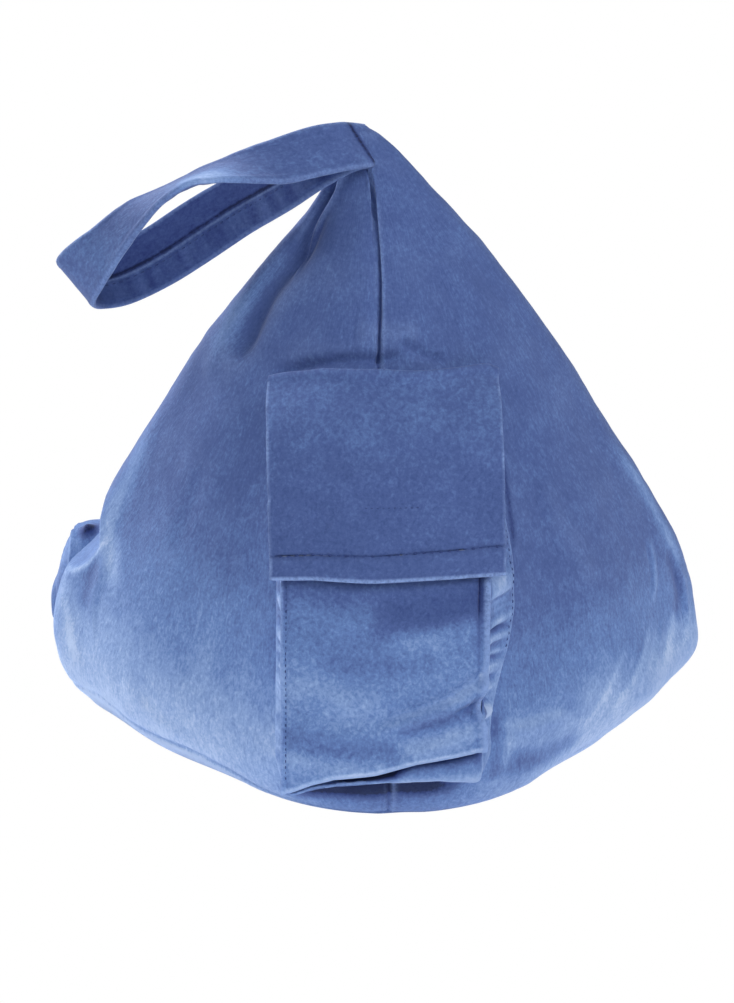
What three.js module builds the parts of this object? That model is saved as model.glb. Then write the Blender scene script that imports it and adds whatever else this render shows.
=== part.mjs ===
// Book rest pillow: a bead-filled three-sided pyramid with a padded ledge along its front,
// a bellows pocket with a flap on its back, and a flat carry loop sewn into the tip of the back seam.
// Millimetres, +Z up. The back with the pocket looks along -Y, the reading face and its ledge along +Y.
// The origin is the middle of the footprint, at the height of the table.

import * as THREE from 'three';

// Cloth
const CLOTH_BLUE = 0x5268a0;
const CLOTH_ROUGHNESS = 0.95;
const SINGLE_CLOTH = 1.6;
const DOUBLED_CLOTH = 2.2;
const LOOP_CLOTH = 2.4;
const SEWN_GAP = 0.35;
const SEAM_DEPTH = 1.2;

// Filled body: one row for each height, from the table to the tip. left and right are the reach of the
// two front corners, front and back that of the reading face and of the back seam, seam is where the
// back seam runs, and corner and ridge are the radii of the front corners and of the rounded back.
const BODY_COLUMNS = ['z', 'left', 'right', 'front', 'back', 'seam', 'corner', 'ridge'];
const BODY_SECTIONS = [
  [0, -121, 119, 60, -89, 8, 30, 72],
  [3, -130, 127, 66, -98, 8, 30, 72],
  [8, -135, 134, 70, -104.5, 8, 30, 71],
  [17, -139.5, 142.5, 73, -110, 8, 30, 69],
  [30, -140.5, 146.5, 74, -111.5, 8, 29, 66],
  [46, -136, 144.5, 70, -106, 8, 27, 62],
  [68, -127, 136, 61, -98.5, 7, 25, 60],
  [92, -112.5, 122, 48, -90, 7, 23, 57],
  [132, -86, 95.5, 27, -76, 6, 19, 52],
  [168, -62, 72, 8, -62.5, 5, 15, 42],
  [195, -40, 51, -7, -52.5, 4, 12, 26],
  [218, -21, 30.5, -19, -44.5, 3, 9, 13],
  [233, -11.5, 16.5, -26.5, -39.5, 1.5, 5, 7],
  [242, -10, 7.5, -30, -37, -2, 2.8, 4],
  [247, -8.5, -2, -32.5, -35.5, -5, 1.2, 1.6],
];
const BODY_ROWS = 36;
const SIDE_CROWN = 5;
const FACE_CROWN = 6;
const CORNER_STEPS = 8;
const RIDGE_STEPS = 14;
const SIDE_STEPS = 12;

// What lies against the body is kept off its surface by looking at level outlines of the body, at the
// place itself and at points round it, at these shares of the distance to be kept
const LEVEL_STEP = 1;
const HALVINGS = 30;
const CLEARANCE_WAYS = 8;
const CLEARANCE_SHARES = [0.5, 0.9];

// Padded ledge along the foot of the reading face: one row for each place along it.
// back and front are its reach in depth, foot and top its lowest and highest points.
const LEDGE_COLUMNS = ['x', 'back', 'front', 'foot', 'top'];
const LEDGE_SECTIONS = [
  [-153, 94, 105, 8, 20],
  [-151, 87, 111, 3, 32],
  [-145, 80, 115, 0, 44],
  [-135, 72, 118.5, -1.5, 54],
  [-116, 67, 121, -1.5, 60],
  [-75, 64, 122.5, -1.5, 62],
  [0, 64, 123, -1.5, 61],
  [75, 64, 122.5, -1.5, 62],
  [116, 67, 121, -1.5, 60],
  [135, 72, 118.5, -1.5, 54],
  [145, 80, 115, 0, 44],
  [151, 87, 111, 3, 32],
  [153, 94, 105, 8, 20],
];
const LEDGE_ROWS = 44;
const LEDGE_STEPS = 26;
const LEDGE_SQUARENESS = 2.6;
const LEDGE_GAP = 0.8;
const TROUGH_FLOOR = 38;
const TROUGH_SPREAD = 0.6;

// Pocket on the back: its mouth and its bottom edge are heights, its sides are distances across
const POCKET_MOUTH = 138;
const POCKET_FOOT_LEFT = 20;
const POCKET_FOOT_RIGHT = 32;
const POCKET_LEFT = -30;
const POCKET_RIGHT = 44;
const POCKET_TAPER = 2.5;
const POCKET_STANDOFF = 9;
const POCKET_BULGE = 2.5;
const POCKET_ROUND = 105;
const POCKET_ROWS = 20;
const POCKET_COLUMNS = 14;
const GUSSET_LEFT = -34;
const GUSSET_RIGHT = 52;
const GUSSET_FOOT_LEFT = 17;
const GUSSET_FOOT_RIGHT = 21;
const GUSSET_CORNER = 9;
const GUSSET_PLEAT = 2.4;
const GUSSET_GAP = 0.9;
const GUSSET_SLOPE = 1;
const GUSSET_SIDE_STEPS = 16;
const GUSSET_CORNER_STEPS = 4;
const GUSSET_FOOT_STEPS = 12;
const GUSSET_ACROSS = 4;

// Flap over the pocket's mouth
const FLAP_TOP = 165;
const FLAP_TOP_DROP = 5;
const FLAP_FOOT_LEFT = 93;
const FLAP_FOOT_RIGHT = 96.5;
const FLAP_LEFT = -37;
const FLAP_RIGHT = 47;
const FLAP_LEAN = 2.5;
const FLAP_CLEARANCE = 2;
const FLAP_ROWS = 16;
const FLAP_COLUMNS = 14;

// Carry loop: one row for each place along the band, from the seam out to the left, round the end
// fold and back to the seam. x, y and z are the middle of the band, and dx, dy and dz lead from
// its upper edge to its lower edge.
const LOOP_COLUMNS = ['x', 'y', 'z', 'dx', 'dy', 'dz'];
const LOOP_SECTIONS = [
  [-3, -43.4, 240.4, 7, -5, -14],
  [-16, -48.5, 239.2, 6, -9, -14.5],
  [-31.5, -55.5, 235.4, 5, -13, -13],
  [-44.5, -62, 233.4, 5, -18, -8],
  [-55, -66, 231.2, 5, -20, -4],
  [-66, -66.5, 226.8, 7, -20, -1],
  [-80.5, -61, 218.6, 11, -18, -3],
  [-94.5, -51, 205.9, 13, -15, -8],
  [-106, -41, 195.2, 15, -11, -12],
  [-112.5, -32, 188.3, 14.5, -6, -15],
  [-110, -23, 187, 12, -2, -18],
  [-98, -14.5, 188.9, 10, -2, -19.5],
  [-82, -8.5, 196.1, 10, -2, -20],
  [-66, -8, 205.6, 10.5, -4, -19.5],
  [-50.5, -12, 215.3, 10.5, -6, -18],
  [-35, -25, 224.5, 10, -7, -17],
  [-20.5, -36.5, 233, 8, -7, -15.5],
  [-6, -40.3, 240.4, 7, -5, -14],
];
const LOOP_STEPS = 64;
const LOOP_ACROSS = 3;

const namedRows = (columns, rows) =>
  rows.map((row) => Object.fromEntries(columns.map((name, i) => [name, row[i]])));

// Smooth values between the rows of a table, at a place from 0 (first row) to 1 (last row)
function blendRows(rows, place) {
  const at = Math.min(Math.max(place, 0), 1) * (rows.length - 1);
  const i = Math.min(Math.floor(at), rows.length - 2);
  const t = at - i;
  const row = (k) => rows[Math.min(Math.max(k, 0), rows.length - 1)];
  const blended = {};
  for (const name of Object.keys(rows[0])) {
    const [a, b, c, d] = [row(i - 1)[name], row(i)[name], row(i + 1)[name], row(i + 2)[name]];
    blended[name] = b + 0.5 * t * (c - a + t * (2 * a - 5 * b + 4 * c - d + t * (3 * (b - c) + d - a)));
  }
  return blended;
}

// Smooth values at a given reading of one rising column, such as the height
function rowAt(rows, column, value) {
  let low = 0;
  let high = 1;
  for (let i = 0; i < HALVINGS; i++) {
    const middle = (low + high) / 2;
    if (blendRows(rows, middle)[column] < value) {
      low = middle;
    } else {
      high = middle;
    }
  }
  return blendRows(rows, (low + high) / 2);
}

// A closed solid from rings of equal length, its two ends closed by flat fans
function closedLoft(rings) {
  const count = rings[0].length;
  const points = rings.flat();
  const index = [];
  for (let r = 0; r + 1 < rings.length; r++) {
    for (let i = 0; i < count; i++) {
      const a = r * count + i;
      const b = r * count + ((i + 1) % count);
      index.push(a, b, b + count, a, b + count, a + count);
    }
  }
  const middleOf = (ring) =>
    ring.reduce((sum, p) => sum.add(p), new THREE.Vector3()).multiplyScalar(1 / ring.length);
  const first = points.length;
  const last = first + 1;
  const lastRing = (rings.length - 1) * count;
  points.push(middleOf(rings[0]), middleOf(rings[rings.length - 1]));
  for (let i = 0; i < count; i++) {
    const next = (i + 1) % count;
    index.push(first, next, i);
    index.push(last, lastRing + i, lastRing + next);
  }
  return geometryOf(points, index);
}

// A closed sheet of cloth from a grid of points on its middle surface
function thickSheet(grid, thickness) {
  const rows = grid.length;
  const columns = grid[0].length;
  const point = (r, c) => grid[Math.min(Math.max(r, 0), rows - 1)][Math.min(Math.max(c, 0), columns - 1)];
  const points = [];
  for (const side of [1, -1]) {
    for (let r = 0; r < rows; r++) {
      for (let c = 0; c < columns; c++) {
        const along = point(r + 1, c).clone().sub(point(r - 1, c));
        const across = point(r, c + 1).clone().sub(point(r, c - 1));
        const normal = across.cross(along).normalize();
        points.push(point(r, c).clone().addScaledVector(normal, (side * thickness) / 2));
      }
    }
  }
  const under = rows * columns;
  const index = [];
  const quad = (a, b, c, d) => index.push(a, b, c, a, c, d);
  for (let r = 0; r + 1 < rows; r++) {
    for (let c = 0; c + 1 < columns; c++) {
      const a = r * columns + c;
      quad(a, a + 1, a + 1 + columns, a + columns);
      quad(under + a, under + a + columns, under + a + 1 + columns, under + a + 1);
    }
  }
  const rim = [];
  for (let c = 0; c < columns; c++) rim.push(c);
  for (let r = 1; r < rows; r++) rim.push(r * columns + columns - 1);
  for (let c = columns - 2; c >= 0; c--) rim.push((rows - 1) * columns + c);
  for (let r = rows - 2; r > 0; r--) rim.push(r * columns);
  rim.forEach((a, i) => {
    const b = rim[(i + 1) % rim.length];
    quad(a, under + a, under + b, b);
  });
  return geometryOf(points, index);
}

function geometryOf(points, index) {
  const geometry = new THREE.BufferGeometry();
  geometry.setAttribute('position', new THREE.Float32BufferAttribute(points.flatMap((p) => p.toArray()), 3));
  geometry.setIndex(index);
  geometry.computeVertexNormals();
  return geometry;
}

const bodyTable = namedRows(BODY_COLUMNS, BODY_SECTIONS);
const BODY_WIDTH = Math.max(...bodyTable.map((row) => row.right - row.left));

// One level outline of the body: three rounded corners joined by crowned sides
function bodyOutline(row) {
  const size = (row.right - row.left) / BODY_WIDTH;
  const cornerY = row.front - FACE_CROWN * size - row.corner;
  const circles = [
    { x: row.right - row.corner, y: cornerY, r: row.corner, steps: CORNER_STEPS, crown: FACE_CROWN },
    { x: row.left + row.corner, y: cornerY, r: row.corner, steps: CORNER_STEPS, crown: SIDE_CROWN },
    { x: row.seam, y: row.back + row.ridge, r: row.ridge, steps: RIDGE_STEPS, crown: SIDE_CROWN },
  ];
  const normals = circles.map((circle, i) => {
    const next = circles[(i + 1) % circles.length];
    const heading = Math.atan2(next.y - circle.y, next.x - circle.x);
    const distance = Math.hypot(next.x - circle.x, next.y - circle.y);
    const turn = Math.asin(THREE.MathUtils.clamp((circle.r - next.r) / distance, -1, 1));
    return heading - Math.PI / 2 + turn;
  });
  const outline = [];
  circles.forEach((circle, i) => {
    const next = circles[(i + 1) % circles.length];
    const from = normals[(i + circles.length - 1) % circles.length];
    const to = from + THREE.MathUtils.euclideanModulo(normals[i] - from, 2 * Math.PI);
    for (let k = 0; k <= circle.steps; k++) {
      const angle = from + ((to - from) * k) / circle.steps;
      const sunk = k * 2 === circle.steps ? Math.min(SEAM_DEPTH, circle.r / 4) : 0;
      const reach = circle.r - sunk;
      outline.push({ x: circle.x + reach * Math.cos(angle), y: circle.y + reach * Math.sin(angle) });
    }
    const nx = Math.cos(normals[i]);
    const ny = Math.sin(normals[i]);
    for (let k = 1; k < SIDE_STEPS; k++) {
      const t = k / SIDE_STEPS;
      const bulge = circle.crown * size * Math.sin(Math.PI * t) ** 2;
      outline.push({
        x: THREE.MathUtils.lerp(circle.x + nx * circle.r, next.x + nx * next.r, t) + nx * bulge,
        y: THREE.MathUtils.lerp(circle.y + ny * circle.r, next.y + ny * next.r, t) + ny * bulge,
      });
    }
  });
  return outline;
}

function bodyGeometry() {
  const rings = [];
  for (let i = 0; i <= BODY_ROWS; i++) {
    const row = blendRows(bodyTable, i / BODY_ROWS);
    rings.push(bodyOutline(row).map((p) => new THREE.Vector3(p.x, p.y, Math.max(row.z, 0))));
  }
  return closedLoft(rings);
}

const levels = [];
for (let z = 0; z <= bodyTable[bodyTable.length - 1].z; z += LEVEL_STEP) {
  levels.push(bodyOutline(rowAt(bodyTable, 'z', z)));
}

// How far a level outline reaches at a place across it: side -1 is its back, 1 its face
function outlineReach(outline, x, side) {
  let reach = -Infinity;
  outline.forEach((a, i) => {
    const b = outline[(i + 1) % outline.length];
    if ((a.x - x) * (b.x - x) > 0 || a.x === b.x) return;
    reach = Math.max(reach, side * THREE.MathUtils.lerp(a.y, b.y, (x - a.x) / (b.x - a.x)));
  });
  return side * reach;
}

// The depth of the body's surface at a place across and a height, with no surface past its corners
function bodySurface(x, z, side) {
  const at = THREE.MathUtils.clamp(z / LEVEL_STEP, 0, levels.length - 1);
  const i = Math.min(Math.floor(at), levels.length - 2);
  const low = outlineReach(levels[i], x, side);
  const high = outlineReach(levels[i + 1], x, side);
  if (!Number.isFinite(low) || !Number.isFinite(high)) return -side * Infinity;
  return THREE.MathUtils.lerp(low, high, at - i);
}

// The depth at which something stays the given distance off the body's surface
function clearOfBody(x, z, side, distance) {
  let reach = side * bodySurface(x, z, side) + distance;
  for (const share of CLEARANCE_SHARES) {
    const lift = distance * Math.sqrt(1 - share ** 2);
    for (let k = 0; k < CLEARANCE_WAYS; k++) {
      const angle = (2 * Math.PI * k) / CLEARANCE_WAYS;
      const dx = share * distance * Math.cos(angle);
      const dz = share * distance * Math.sin(angle);
      reach = Math.max(reach, side * bodySurface(x + dx, z + dz, side) + lift);
    }
  }
  return side * reach;
}

// The ledge is a roll whose back lies against the foot of the reading face. Above the trough's
// floor it parts from the face in a straight line, so that a book's edge stands between them.
function troughSide(z) {
  if (z < TROUGH_FLOOR) return -Infinity;
  return rowAt(bodyTable, 'z', z).front + LEDGE_GAP + TROUGH_SPREAD * (z - TROUGH_FLOOR);
}

function ledgeGeometry() {
  const table = namedRows(LEDGE_COLUMNS, LEDGE_SECTIONS);
  const rings = [];
  for (let i = 0; i <= LEDGE_ROWS; i++) {
    const row = blendRows(table, i / LEDGE_ROWS);
    const ring = [];
    for (let k = 0; k < LEDGE_STEPS; k++) {
      const angle = (2 * Math.PI * k) / LEDGE_STEPS;
      const rounded = (value) => Math.sign(value) * Math.abs(value) ** (2 / LEDGE_SQUARENESS);
      const middleY = (row.back + row.front) / 2;
      const middleZ = (row.foot + row.top) / 2;
      const z = Math.max(middleZ + rounded(Math.sin(angle)) * (row.top - middleZ), 0);
      const y = middleY + rounded(Math.cos(angle)) * (row.front - middleY);
      const kept = Math.max(y, clearOfBody(row.x, z, 1, LEDGE_GAP), troughSide(z));
      ring.push(new THREE.Vector3(row.x, kept, z));
    }
    rings.push(ring);
  }
  return closedLoft(rings);
}

// The pocket's front and the flap are flatter across than the back that carries them. This is the
// depth at a place on a surface outside the pocket's front by the given distance.
function pocketDepth(x, z, outside) {
  const { seam, back } = rowAt(bodyTable, 'z', z);
  const share = THREE.MathUtils.clamp((POCKET_MOUTH - z) / (POCKET_MOUTH - POCKET_FOOT_LEFT), 0, 1);
  const standoff = POCKET_STANDOFF + POCKET_BULGE * Math.sin(Math.PI * share) + outside;
  return back - standoff + (x - seam) ** 2 / (2 * POCKET_ROUND);
}

function pocketFoot(x) {
  return THREE.MathUtils.mapLinear(x, POCKET_LEFT, POCKET_RIGHT, POCKET_FOOT_LEFT, POCKET_FOOT_RIGHT);
}

function pocketFrontGeometry() {
  const grid = [];
  for (let r = 0; r <= POCKET_ROWS; r++) {
    const down = r / POCKET_ROWS;
    const line = [];
    for (let c = 0; c <= POCKET_COLUMNS; c++) {
      const x = THREE.MathUtils.lerp(POCKET_LEFT, POCKET_RIGHT - POCKET_TAPER * down, c / POCKET_COLUMNS);
      const z = THREE.MathUtils.lerp(POCKET_MOUTH, pocketFoot(x), down);
      line.push(new THREE.Vector3(x, pocketDepth(x, z, 0), z));
    }
    grid.push(line);
  }
  return thickSheet(grid, SINGLE_CLOTH);
}

// The gusset runs down one side of the pocket, under it and up the other side. It joins the front
// panel's edge to the body, and folds inward halfway.
function gussetGeometry() {
  const half = SINGLE_CLOTH / 2;
  const inner = {
    left: POCKET_LEFT + half,
    right: POCKET_RIGHT - POCKET_TAPER - half,
    footLeft: POCKET_FOOT_LEFT + half,
    footRight: POCKET_FOOT_RIGHT + half,
  };
  const outer = {
    left: GUSSET_LEFT,
    right: GUSSET_RIGHT,
    footLeft: GUSSET_FOOT_LEFT,
    footRight: GUSSET_FOOT_RIGHT,
  };
  const grid = [];
  for (let a = 0; a <= GUSSET_ACROSS; a++) {
    const t = a / GUSSET_ACROSS;
    const mixed = Object.fromEntries(
      Object.keys(inner).map((name) => [name, THREE.MathUtils.lerp(inner[name], outer[name], t)]),
    );
    const pleat = GUSSET_PLEAT * Math.sin(Math.PI * t);
    const line = gussetPath(mixed, pleat).map(({ x, z }) => {
      const front = pocketDepth(x, z, 0) + half + GUSSET_GAP;
      const back = clearOfBody(x, z, -1, half + SEWN_GAP);
      return new THREE.Vector3(x, THREE.MathUtils.lerp(front, back, t), z);
    });
    grid.push(line);
  }
  return thickSheet(grid, SINGLE_CLOTH);
}

function gussetPath({ left, right, footLeft, footRight }, pleat) {
  const path = new THREE.Path();
  const [l, r] = [left + pleat, right - pleat];
  const [fl, fr] = [footLeft + pleat, footRight + pleat];
  path.moveTo(l, POCKET_MOUTH);
  path.lineTo(l, fl + GUSSET_CORNER);
  path.quadraticCurveTo(l, fl, l + GUSSET_CORNER, fl + GUSSET_SLOPE);
  path.lineTo(r - GUSSET_CORNER, fr - GUSSET_SLOPE);
  path.quadraticCurveTo(r, fr, r, fr + GUSSET_CORNER);
  path.lineTo(r, POCKET_MOUTH);
  const turn = [GUSSET_SIDE_STEPS, GUSSET_CORNER_STEPS];
  const steps = [...turn, GUSSET_FOOT_STEPS, ...turn.toReversed()];
  return path.curves.flatMap((curve, i) => {
    const points = [];
    for (let k = i === 0 ? 0 : 1; k <= steps[i]; k++) {
      const p = curve.getPoint(k / steps[i]);
      points.push({ x: p.x, z: p.y });
    }
    return points;
  });
}

// The flap is sewn on above the mouth, follows the body there and lies over the pocket below
function flapGeometry() {
  const overPocket = (SINGLE_CLOTH + DOUBLED_CLOTH) / 2 + FLAP_CLEARANCE;
  const grid = [];
  for (let r = 0; r <= FLAP_ROWS; r++) {
    const down = r / FLAP_ROWS;
    const line = [];
    for (let c = 0; c <= FLAP_COLUMNS; c++) {
      const across = c / FLAP_COLUMNS;
      const x = THREE.MathUtils.lerp(FLAP_LEFT, FLAP_RIGHT, across) + FLAP_LEAN * down;
      const top = FLAP_TOP - FLAP_TOP_DROP * (1 - 2 * across) ** 2;
      const foot = THREE.MathUtils.lerp(FLAP_FOOT_LEFT, FLAP_FOOT_RIGHT, across);
      const z = THREE.MathUtils.lerp(top, foot, down);
      const onBody = clearOfBody(x, z, -1, DOUBLED_CLOTH / 2 + 2 * SEWN_GAP);
      const lifted = THREE.MathUtils.smoothstep(FLAP_TOP - z, 0, FLAP_TOP - POCKET_MOUTH);
      const y = THREE.MathUtils.lerp(onBody, pocketDepth(x, z, overPocket), lifted);
      line.push(new THREE.Vector3(x, Math.min(y, onBody), z));
    }
    grid.push(line);
  }
  return thickSheet(grid, DOUBLED_CLOTH);
}

function loopGeometry() {
  const table = namedRows(LOOP_COLUMNS, LOOP_SECTIONS);
  const grid = [];
  for (let i = 0; i <= LOOP_STEPS; i++) {
    const row = blendRows(table, i / LOOP_STEPS);
    const line = [];
    for (let c = 0; c < LOOP_ACROSS; c++) {
      const t = c / (LOOP_ACROSS - 1) - 0.5;
      line.push(new THREE.Vector3(row.x + row.dx * t, row.y + row.dy * t, row.z + row.dz * t));
    }
    grid.push(line);
  }
  return thickSheet(grid, LOOP_CLOTH);
}

function piece(name, geometry) {
  const material = new THREE.MeshStandardMaterial({
    color: CLOTH_BLUE,
    roughness: CLOTH_ROUGHNESS,
    metalness: 0,
  });
  const mesh = new THREE.Mesh(geometry, material);
  mesh.name = name;
  return mesh;
}

const group = new THREE.Group();
group.add(
  piece('body', bodyGeometry()),
  piece('front_ledge', ledgeGeometry()),
  piece('pocket_front', pocketFrontGeometry()),
  piece('pocket_gusset', gussetGeometry()),
  piece('pocket_flap', flapGeometry()),
  piece('carry_loop', loopGeometry()),
);

export default group;
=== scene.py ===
import math

import bpy
import numpy as np
from bpy.props import FloatProperty, FloatVectorProperty, PointerProperty
from bpy.types import Operator, Panel, PropertyGroup
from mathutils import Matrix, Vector, noise
from mathutils.bvhtree import BVHTree


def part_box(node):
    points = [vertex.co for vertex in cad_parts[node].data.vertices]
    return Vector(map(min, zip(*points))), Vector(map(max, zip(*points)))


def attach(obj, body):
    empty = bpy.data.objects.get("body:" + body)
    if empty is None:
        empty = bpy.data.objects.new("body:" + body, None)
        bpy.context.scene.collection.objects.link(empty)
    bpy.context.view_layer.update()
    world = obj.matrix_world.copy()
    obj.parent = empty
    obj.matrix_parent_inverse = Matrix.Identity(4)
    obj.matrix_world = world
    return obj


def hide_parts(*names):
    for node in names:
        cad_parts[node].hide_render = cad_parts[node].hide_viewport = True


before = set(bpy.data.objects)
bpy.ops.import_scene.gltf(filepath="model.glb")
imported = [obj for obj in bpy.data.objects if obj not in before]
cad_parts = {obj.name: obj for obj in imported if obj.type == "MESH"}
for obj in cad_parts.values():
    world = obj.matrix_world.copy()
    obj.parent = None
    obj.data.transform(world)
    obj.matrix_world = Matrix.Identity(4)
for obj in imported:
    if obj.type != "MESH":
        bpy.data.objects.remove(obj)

bl_info = {
    "name": "Book rest pillow",
    "version": (1, 0, 0),
    "blender": (4, 5, 0),
    "location": "3D View > Sidebar > Pillow",
    "description": "Builds a filled book rest pillow with its ledge, pocket, flap and carry loop",
    "category": "Object",
}

BODY = "root"
MM = 0.001

# The photograph's frame and the view that it was taken from
PHOTO_HEIGHT_PX = 1003
FOCAL_PX = 1550
CENTRE_ABOVE_MIDDLE_PX = 31.5
CAMERA_PLACE_MM = (0, -614, 272)
CAMERA_TILT_DEG = 15
SENSOR_MM = 36


def linear(code):
    """Linear red, green and blue of an sRGB hex colour."""
    levels = [int(code[i:i + 2], 16) / 255 for i in (0, 2, 4)]
    return tuple(v / 12.92 if v <= 0.04045 else ((v + 0.055) / 1.055) ** 2.4 for v in levels)


def length(name, default_mm, description):
    """A length that a user may change, given in millimetres and kept in metres."""
    return FloatProperty(name=name, default=default_mm * MM, min=0, unit="LENGTH", description=description)


def colour(name, code, description):
    """A colour that a user may change."""
    return FloatVectorProperty(
        name=name, default=linear(code), size=3, min=0, max=1, subtype="COLOR", description=description
    )


class PillowCloth(PropertyGroup):
    # Painted shade: the darkest colour, in the ledge's hole, under the pocket's lip, in its slot and along
    # the loop's inner line
    nap_crushed: colour("Nap, crushed", "1c264c", "Colour deep between two folds")
    # Painted shade, where folds, the pocket and the flap shade the cover
    nap_shaded: colour("Nap, pressed flat", "32427c", "Colour where the nap is pressed down")
    nap_dark: colour("Nap, brushed down", "44588e", "Colour where the nap lies away from the eye")
    nap_middle: colour("Nap", "4e629a", "Colour of most of the cloth")
    nap_light: colour("Nap, brushed up", "6583bb", "Colour where the nap stands towards the eye")
    # Painted light: the two palest colours, low on the cover where the light table lights it, and on lit rims
    # and folds
    nap_bright: colour("Nap, brushed well up", "88a3d2", "Colour where hands have brushed it up most")
    nap_pale: colour("Nap, on end", "b0c4e6", "Colour where the nap stands on end, low on the cover")
    # Paler folds, hems and rims: partly wear and partly painted highlight
    wear_and_highlight: colour("Worn edge", "86a1d6", "Colour of rubbed folds, hems and rims")
    thread: colour("Thread", "33467f", "Colour of the sewing thread")
    patch: length("Nap patch", 13, "Size of a patch of nap brushed one way")
    stroke: length("Nap stroke", 1.9, "Width of a brush stroke in the nap")
    stroke_run: length("Stroke length", 4.0, "Length of a brush stroke in the nap")
    grain: length("Grain", 1.3, "Size of the clumps of fibre; the real ones are finer")


class PillowBody(PropertyGroup):
    seam_width: length("Seam width", 0.55, "Half the width of the groove at a seam")
    seam_depth: length("Seam depth", 1.5, "Depth of the groove at the back seam")
    seam_pull: length("Seam pull", 0.8, "How far the cloth is drawn in beside the back seam")
    root_cover: length("Root cover", 2.6, "How far the cover's right half stands over the loop's root")
    corner_fill: length("Corner fill", 4.4, "How far the filling stands out low in the right corner")
    softness: length("Softness", 0.9, "How far the filling swells and sinks under the cover")


class PillowPocket(PropertyGroup):
    left: length("Left edge", 30, "Distance of the left edge from the middle")
    right: length("Right edge", 44, "Distance of the right edge from the middle")
    taper: length("Taper", 2.5, "How much the right edge draws in towards the foot")
    mouth: length("Mouth", 138, "Height of the pocket's mouth")
    foot_left: length("Foot, left", 20, "Height of the front panel's foot at its left corner")
    foot_right: length("Foot, right", 32, "Height of the front panel's foot at its right corner")
    gusset_left: length("Gusset, left", 32.6, "Where the gusset is sewn down at the left")
    gusset_right: length("Gusset, right", 54, "Where the gusset is sewn down at the right")
    gusset_tuck: length("Gusset tuck", 10, "How far its seam is drawn in towards the foot at the right")
    gusset_foot_left: length("Gusset foot, left", 17.5, "Height at which the gusset is sewn down")
    gusset_foot_right: length("Gusset foot, right", 23, "The same at its right corner")
    cloth: length("Cloth", 1.5, "Thickness of the front panel")
    gusset_cloth: length("Gusset cloth", 1.1, "Thickness of the gusset")


class PillowFlap(PropertyGroup):
    left: length("Left edge", 36, "Distance of the left edge from the middle")
    right: length("Right edge", 47.9, "Distance of the right edge from the middle")
    lean: length("Lean", 2.5, "How far the foot stands to the right of the top")
    taper: length("Taper", 2, "How much the right edge draws in towards the foot")
    top: length("Top", 161.2, "Height of the flap's top fold")
    foot_left: length("Foot, left", 93, "Height of the flap's foot at its left corner")
    foot_right: length("Foot, right", 96.5, "Height of the flap's foot at its right corner")
    hem_left: length("Hem, left", 7.4, "Height of the hem at its left end")
    hem_right: length("Hem, right", 9.2, "Height of the hem at its right end")
    cloth: length("Cloth", 2.2, "Thickness of the doubled cloth")
    roll: length("Top fold", 1.9, "Radius of the fold at the flap's top")


class PillowLoop(PropertyGroup):
    cloth: length("Cloth", 1.9, "Thickness of the folded band")
    turned: length("Turned edge", 0.6, "Step where the band's edge is folded in")


def settings_mm(group):
    """The lengths of a group of settings, in millimetres, by name."""
    names = [p.identifier for p in group.bl_rna.properties if p.type == "FLOAT" and not p.is_array]
    return {name: getattr(group, name) / MM for name in names}


# Numbers along curves and over grids, all in millimetres


def smooth_rows(rows, count):
    """A table's rows blended into count smooth steps."""
    rows = np.asarray(rows, float)
    at = np.linspace(0, len(rows) - 1, count)
    i = np.minimum(at.astype(int), len(rows) - 2)
    t = (at - i)[:, None]
    a, b, c, d = (rows[np.clip(i + k, 0, len(rows) - 1)] for k in (-1, 0, 1, 2))
    return b + 0.5 * t * (c - a + t * (2 * a - 5 * b + 4 * c - d + t * (3 * (b - c) + d - a)))


def mix(a, b, t):
    """a where t is 0, b where it is 1, and a share of each between."""
    return a + (b - a) * t


def ramp(value, low, high):
    """0 below low, 1 above high and an even S between them."""
    t = np.clip((value - low) / (high - low), 0, 1)
    return t * t * (3 - 2 * t)


def hump(value, width):
    """A bell curve, 1 where value is 0 and about a third of that at width."""
    return np.exp(-((value / width) ** 2))


def blur(values, spread, axis, wrap=False):
    """Values smoothed along one way of a grid by a bell curve spread steps wide."""
    reach = max(1, int(3 * spread))
    weights = np.exp(-0.5 * (np.arange(-reach, reach + 1) / spread) ** 2)
    weights /= weights.sum()
    pad = [(0, 0)] * values.ndim
    pad[axis] = (reach, reach)
    padded = np.pad(values, pad, mode="wrap" if wrap else "edge")
    size = values.shape[axis]
    return sum(w * np.take(padded, np.arange(k, k + size), axis) for k, w in enumerate(weights))


def rough(points, size, seed, octaves=2):
    """Soft random values from about -1 to 1 at points, with bumps of the given size. Each seed
    gives bumps of its own, the same ones every time."""
    flat = np.asarray(points, float).reshape(-1, 3)
    shift = Vector((17.3 * seed, 5.1 * seed, -9.7 * seed))
    values = [noise.fractal(Vector(p / size) + shift, 0.9, 2.1, octaves) for p in flat]
    return np.array(values).reshape(np.shape(points)[:-1])


def points_of(x, y, z):
    """Points from their three coordinates, each a grid, a row or one number."""
    return np.stack(np.broadcast_arrays(x, y, z), -1)


def share_grid(rows, columns):
    """Shares from 0 to 1 down and across a grid."""
    return np.meshgrid(np.linspace(0, 1, rows), np.linspace(0, 1, columns), indexing="ij")


def reach_along(path):
    """Lengths along a path up to each of its points."""
    return np.concatenate([[0], np.cumsum(np.linalg.norm(np.diff(path, axis=0), axis=1))])


def point_on(path, reach, at):
    """Points of a path, or what it holds for them, at lengths along it."""
    return np.stack([np.interp(at, reach, path[:, i]) for i in range(3)], -1)


def unit(vectors):
    """Vectors brought to a length of 1."""
    return vectors / np.maximum(np.linalg.norm(vectors, axis=-1, keepdims=True), 1e-9)


def grid_normals(points, wrap=False):
    """Normals of a grid: its column way crossed with its row way."""
    along = np.gradient(points, axis=0)
    if wrap:
        across = np.roll(points, -1, 1) - np.roll(points, 1, 1)
    else:
        across = np.gradient(points, axis=1)
    return unit(np.cross(across, along))


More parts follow.
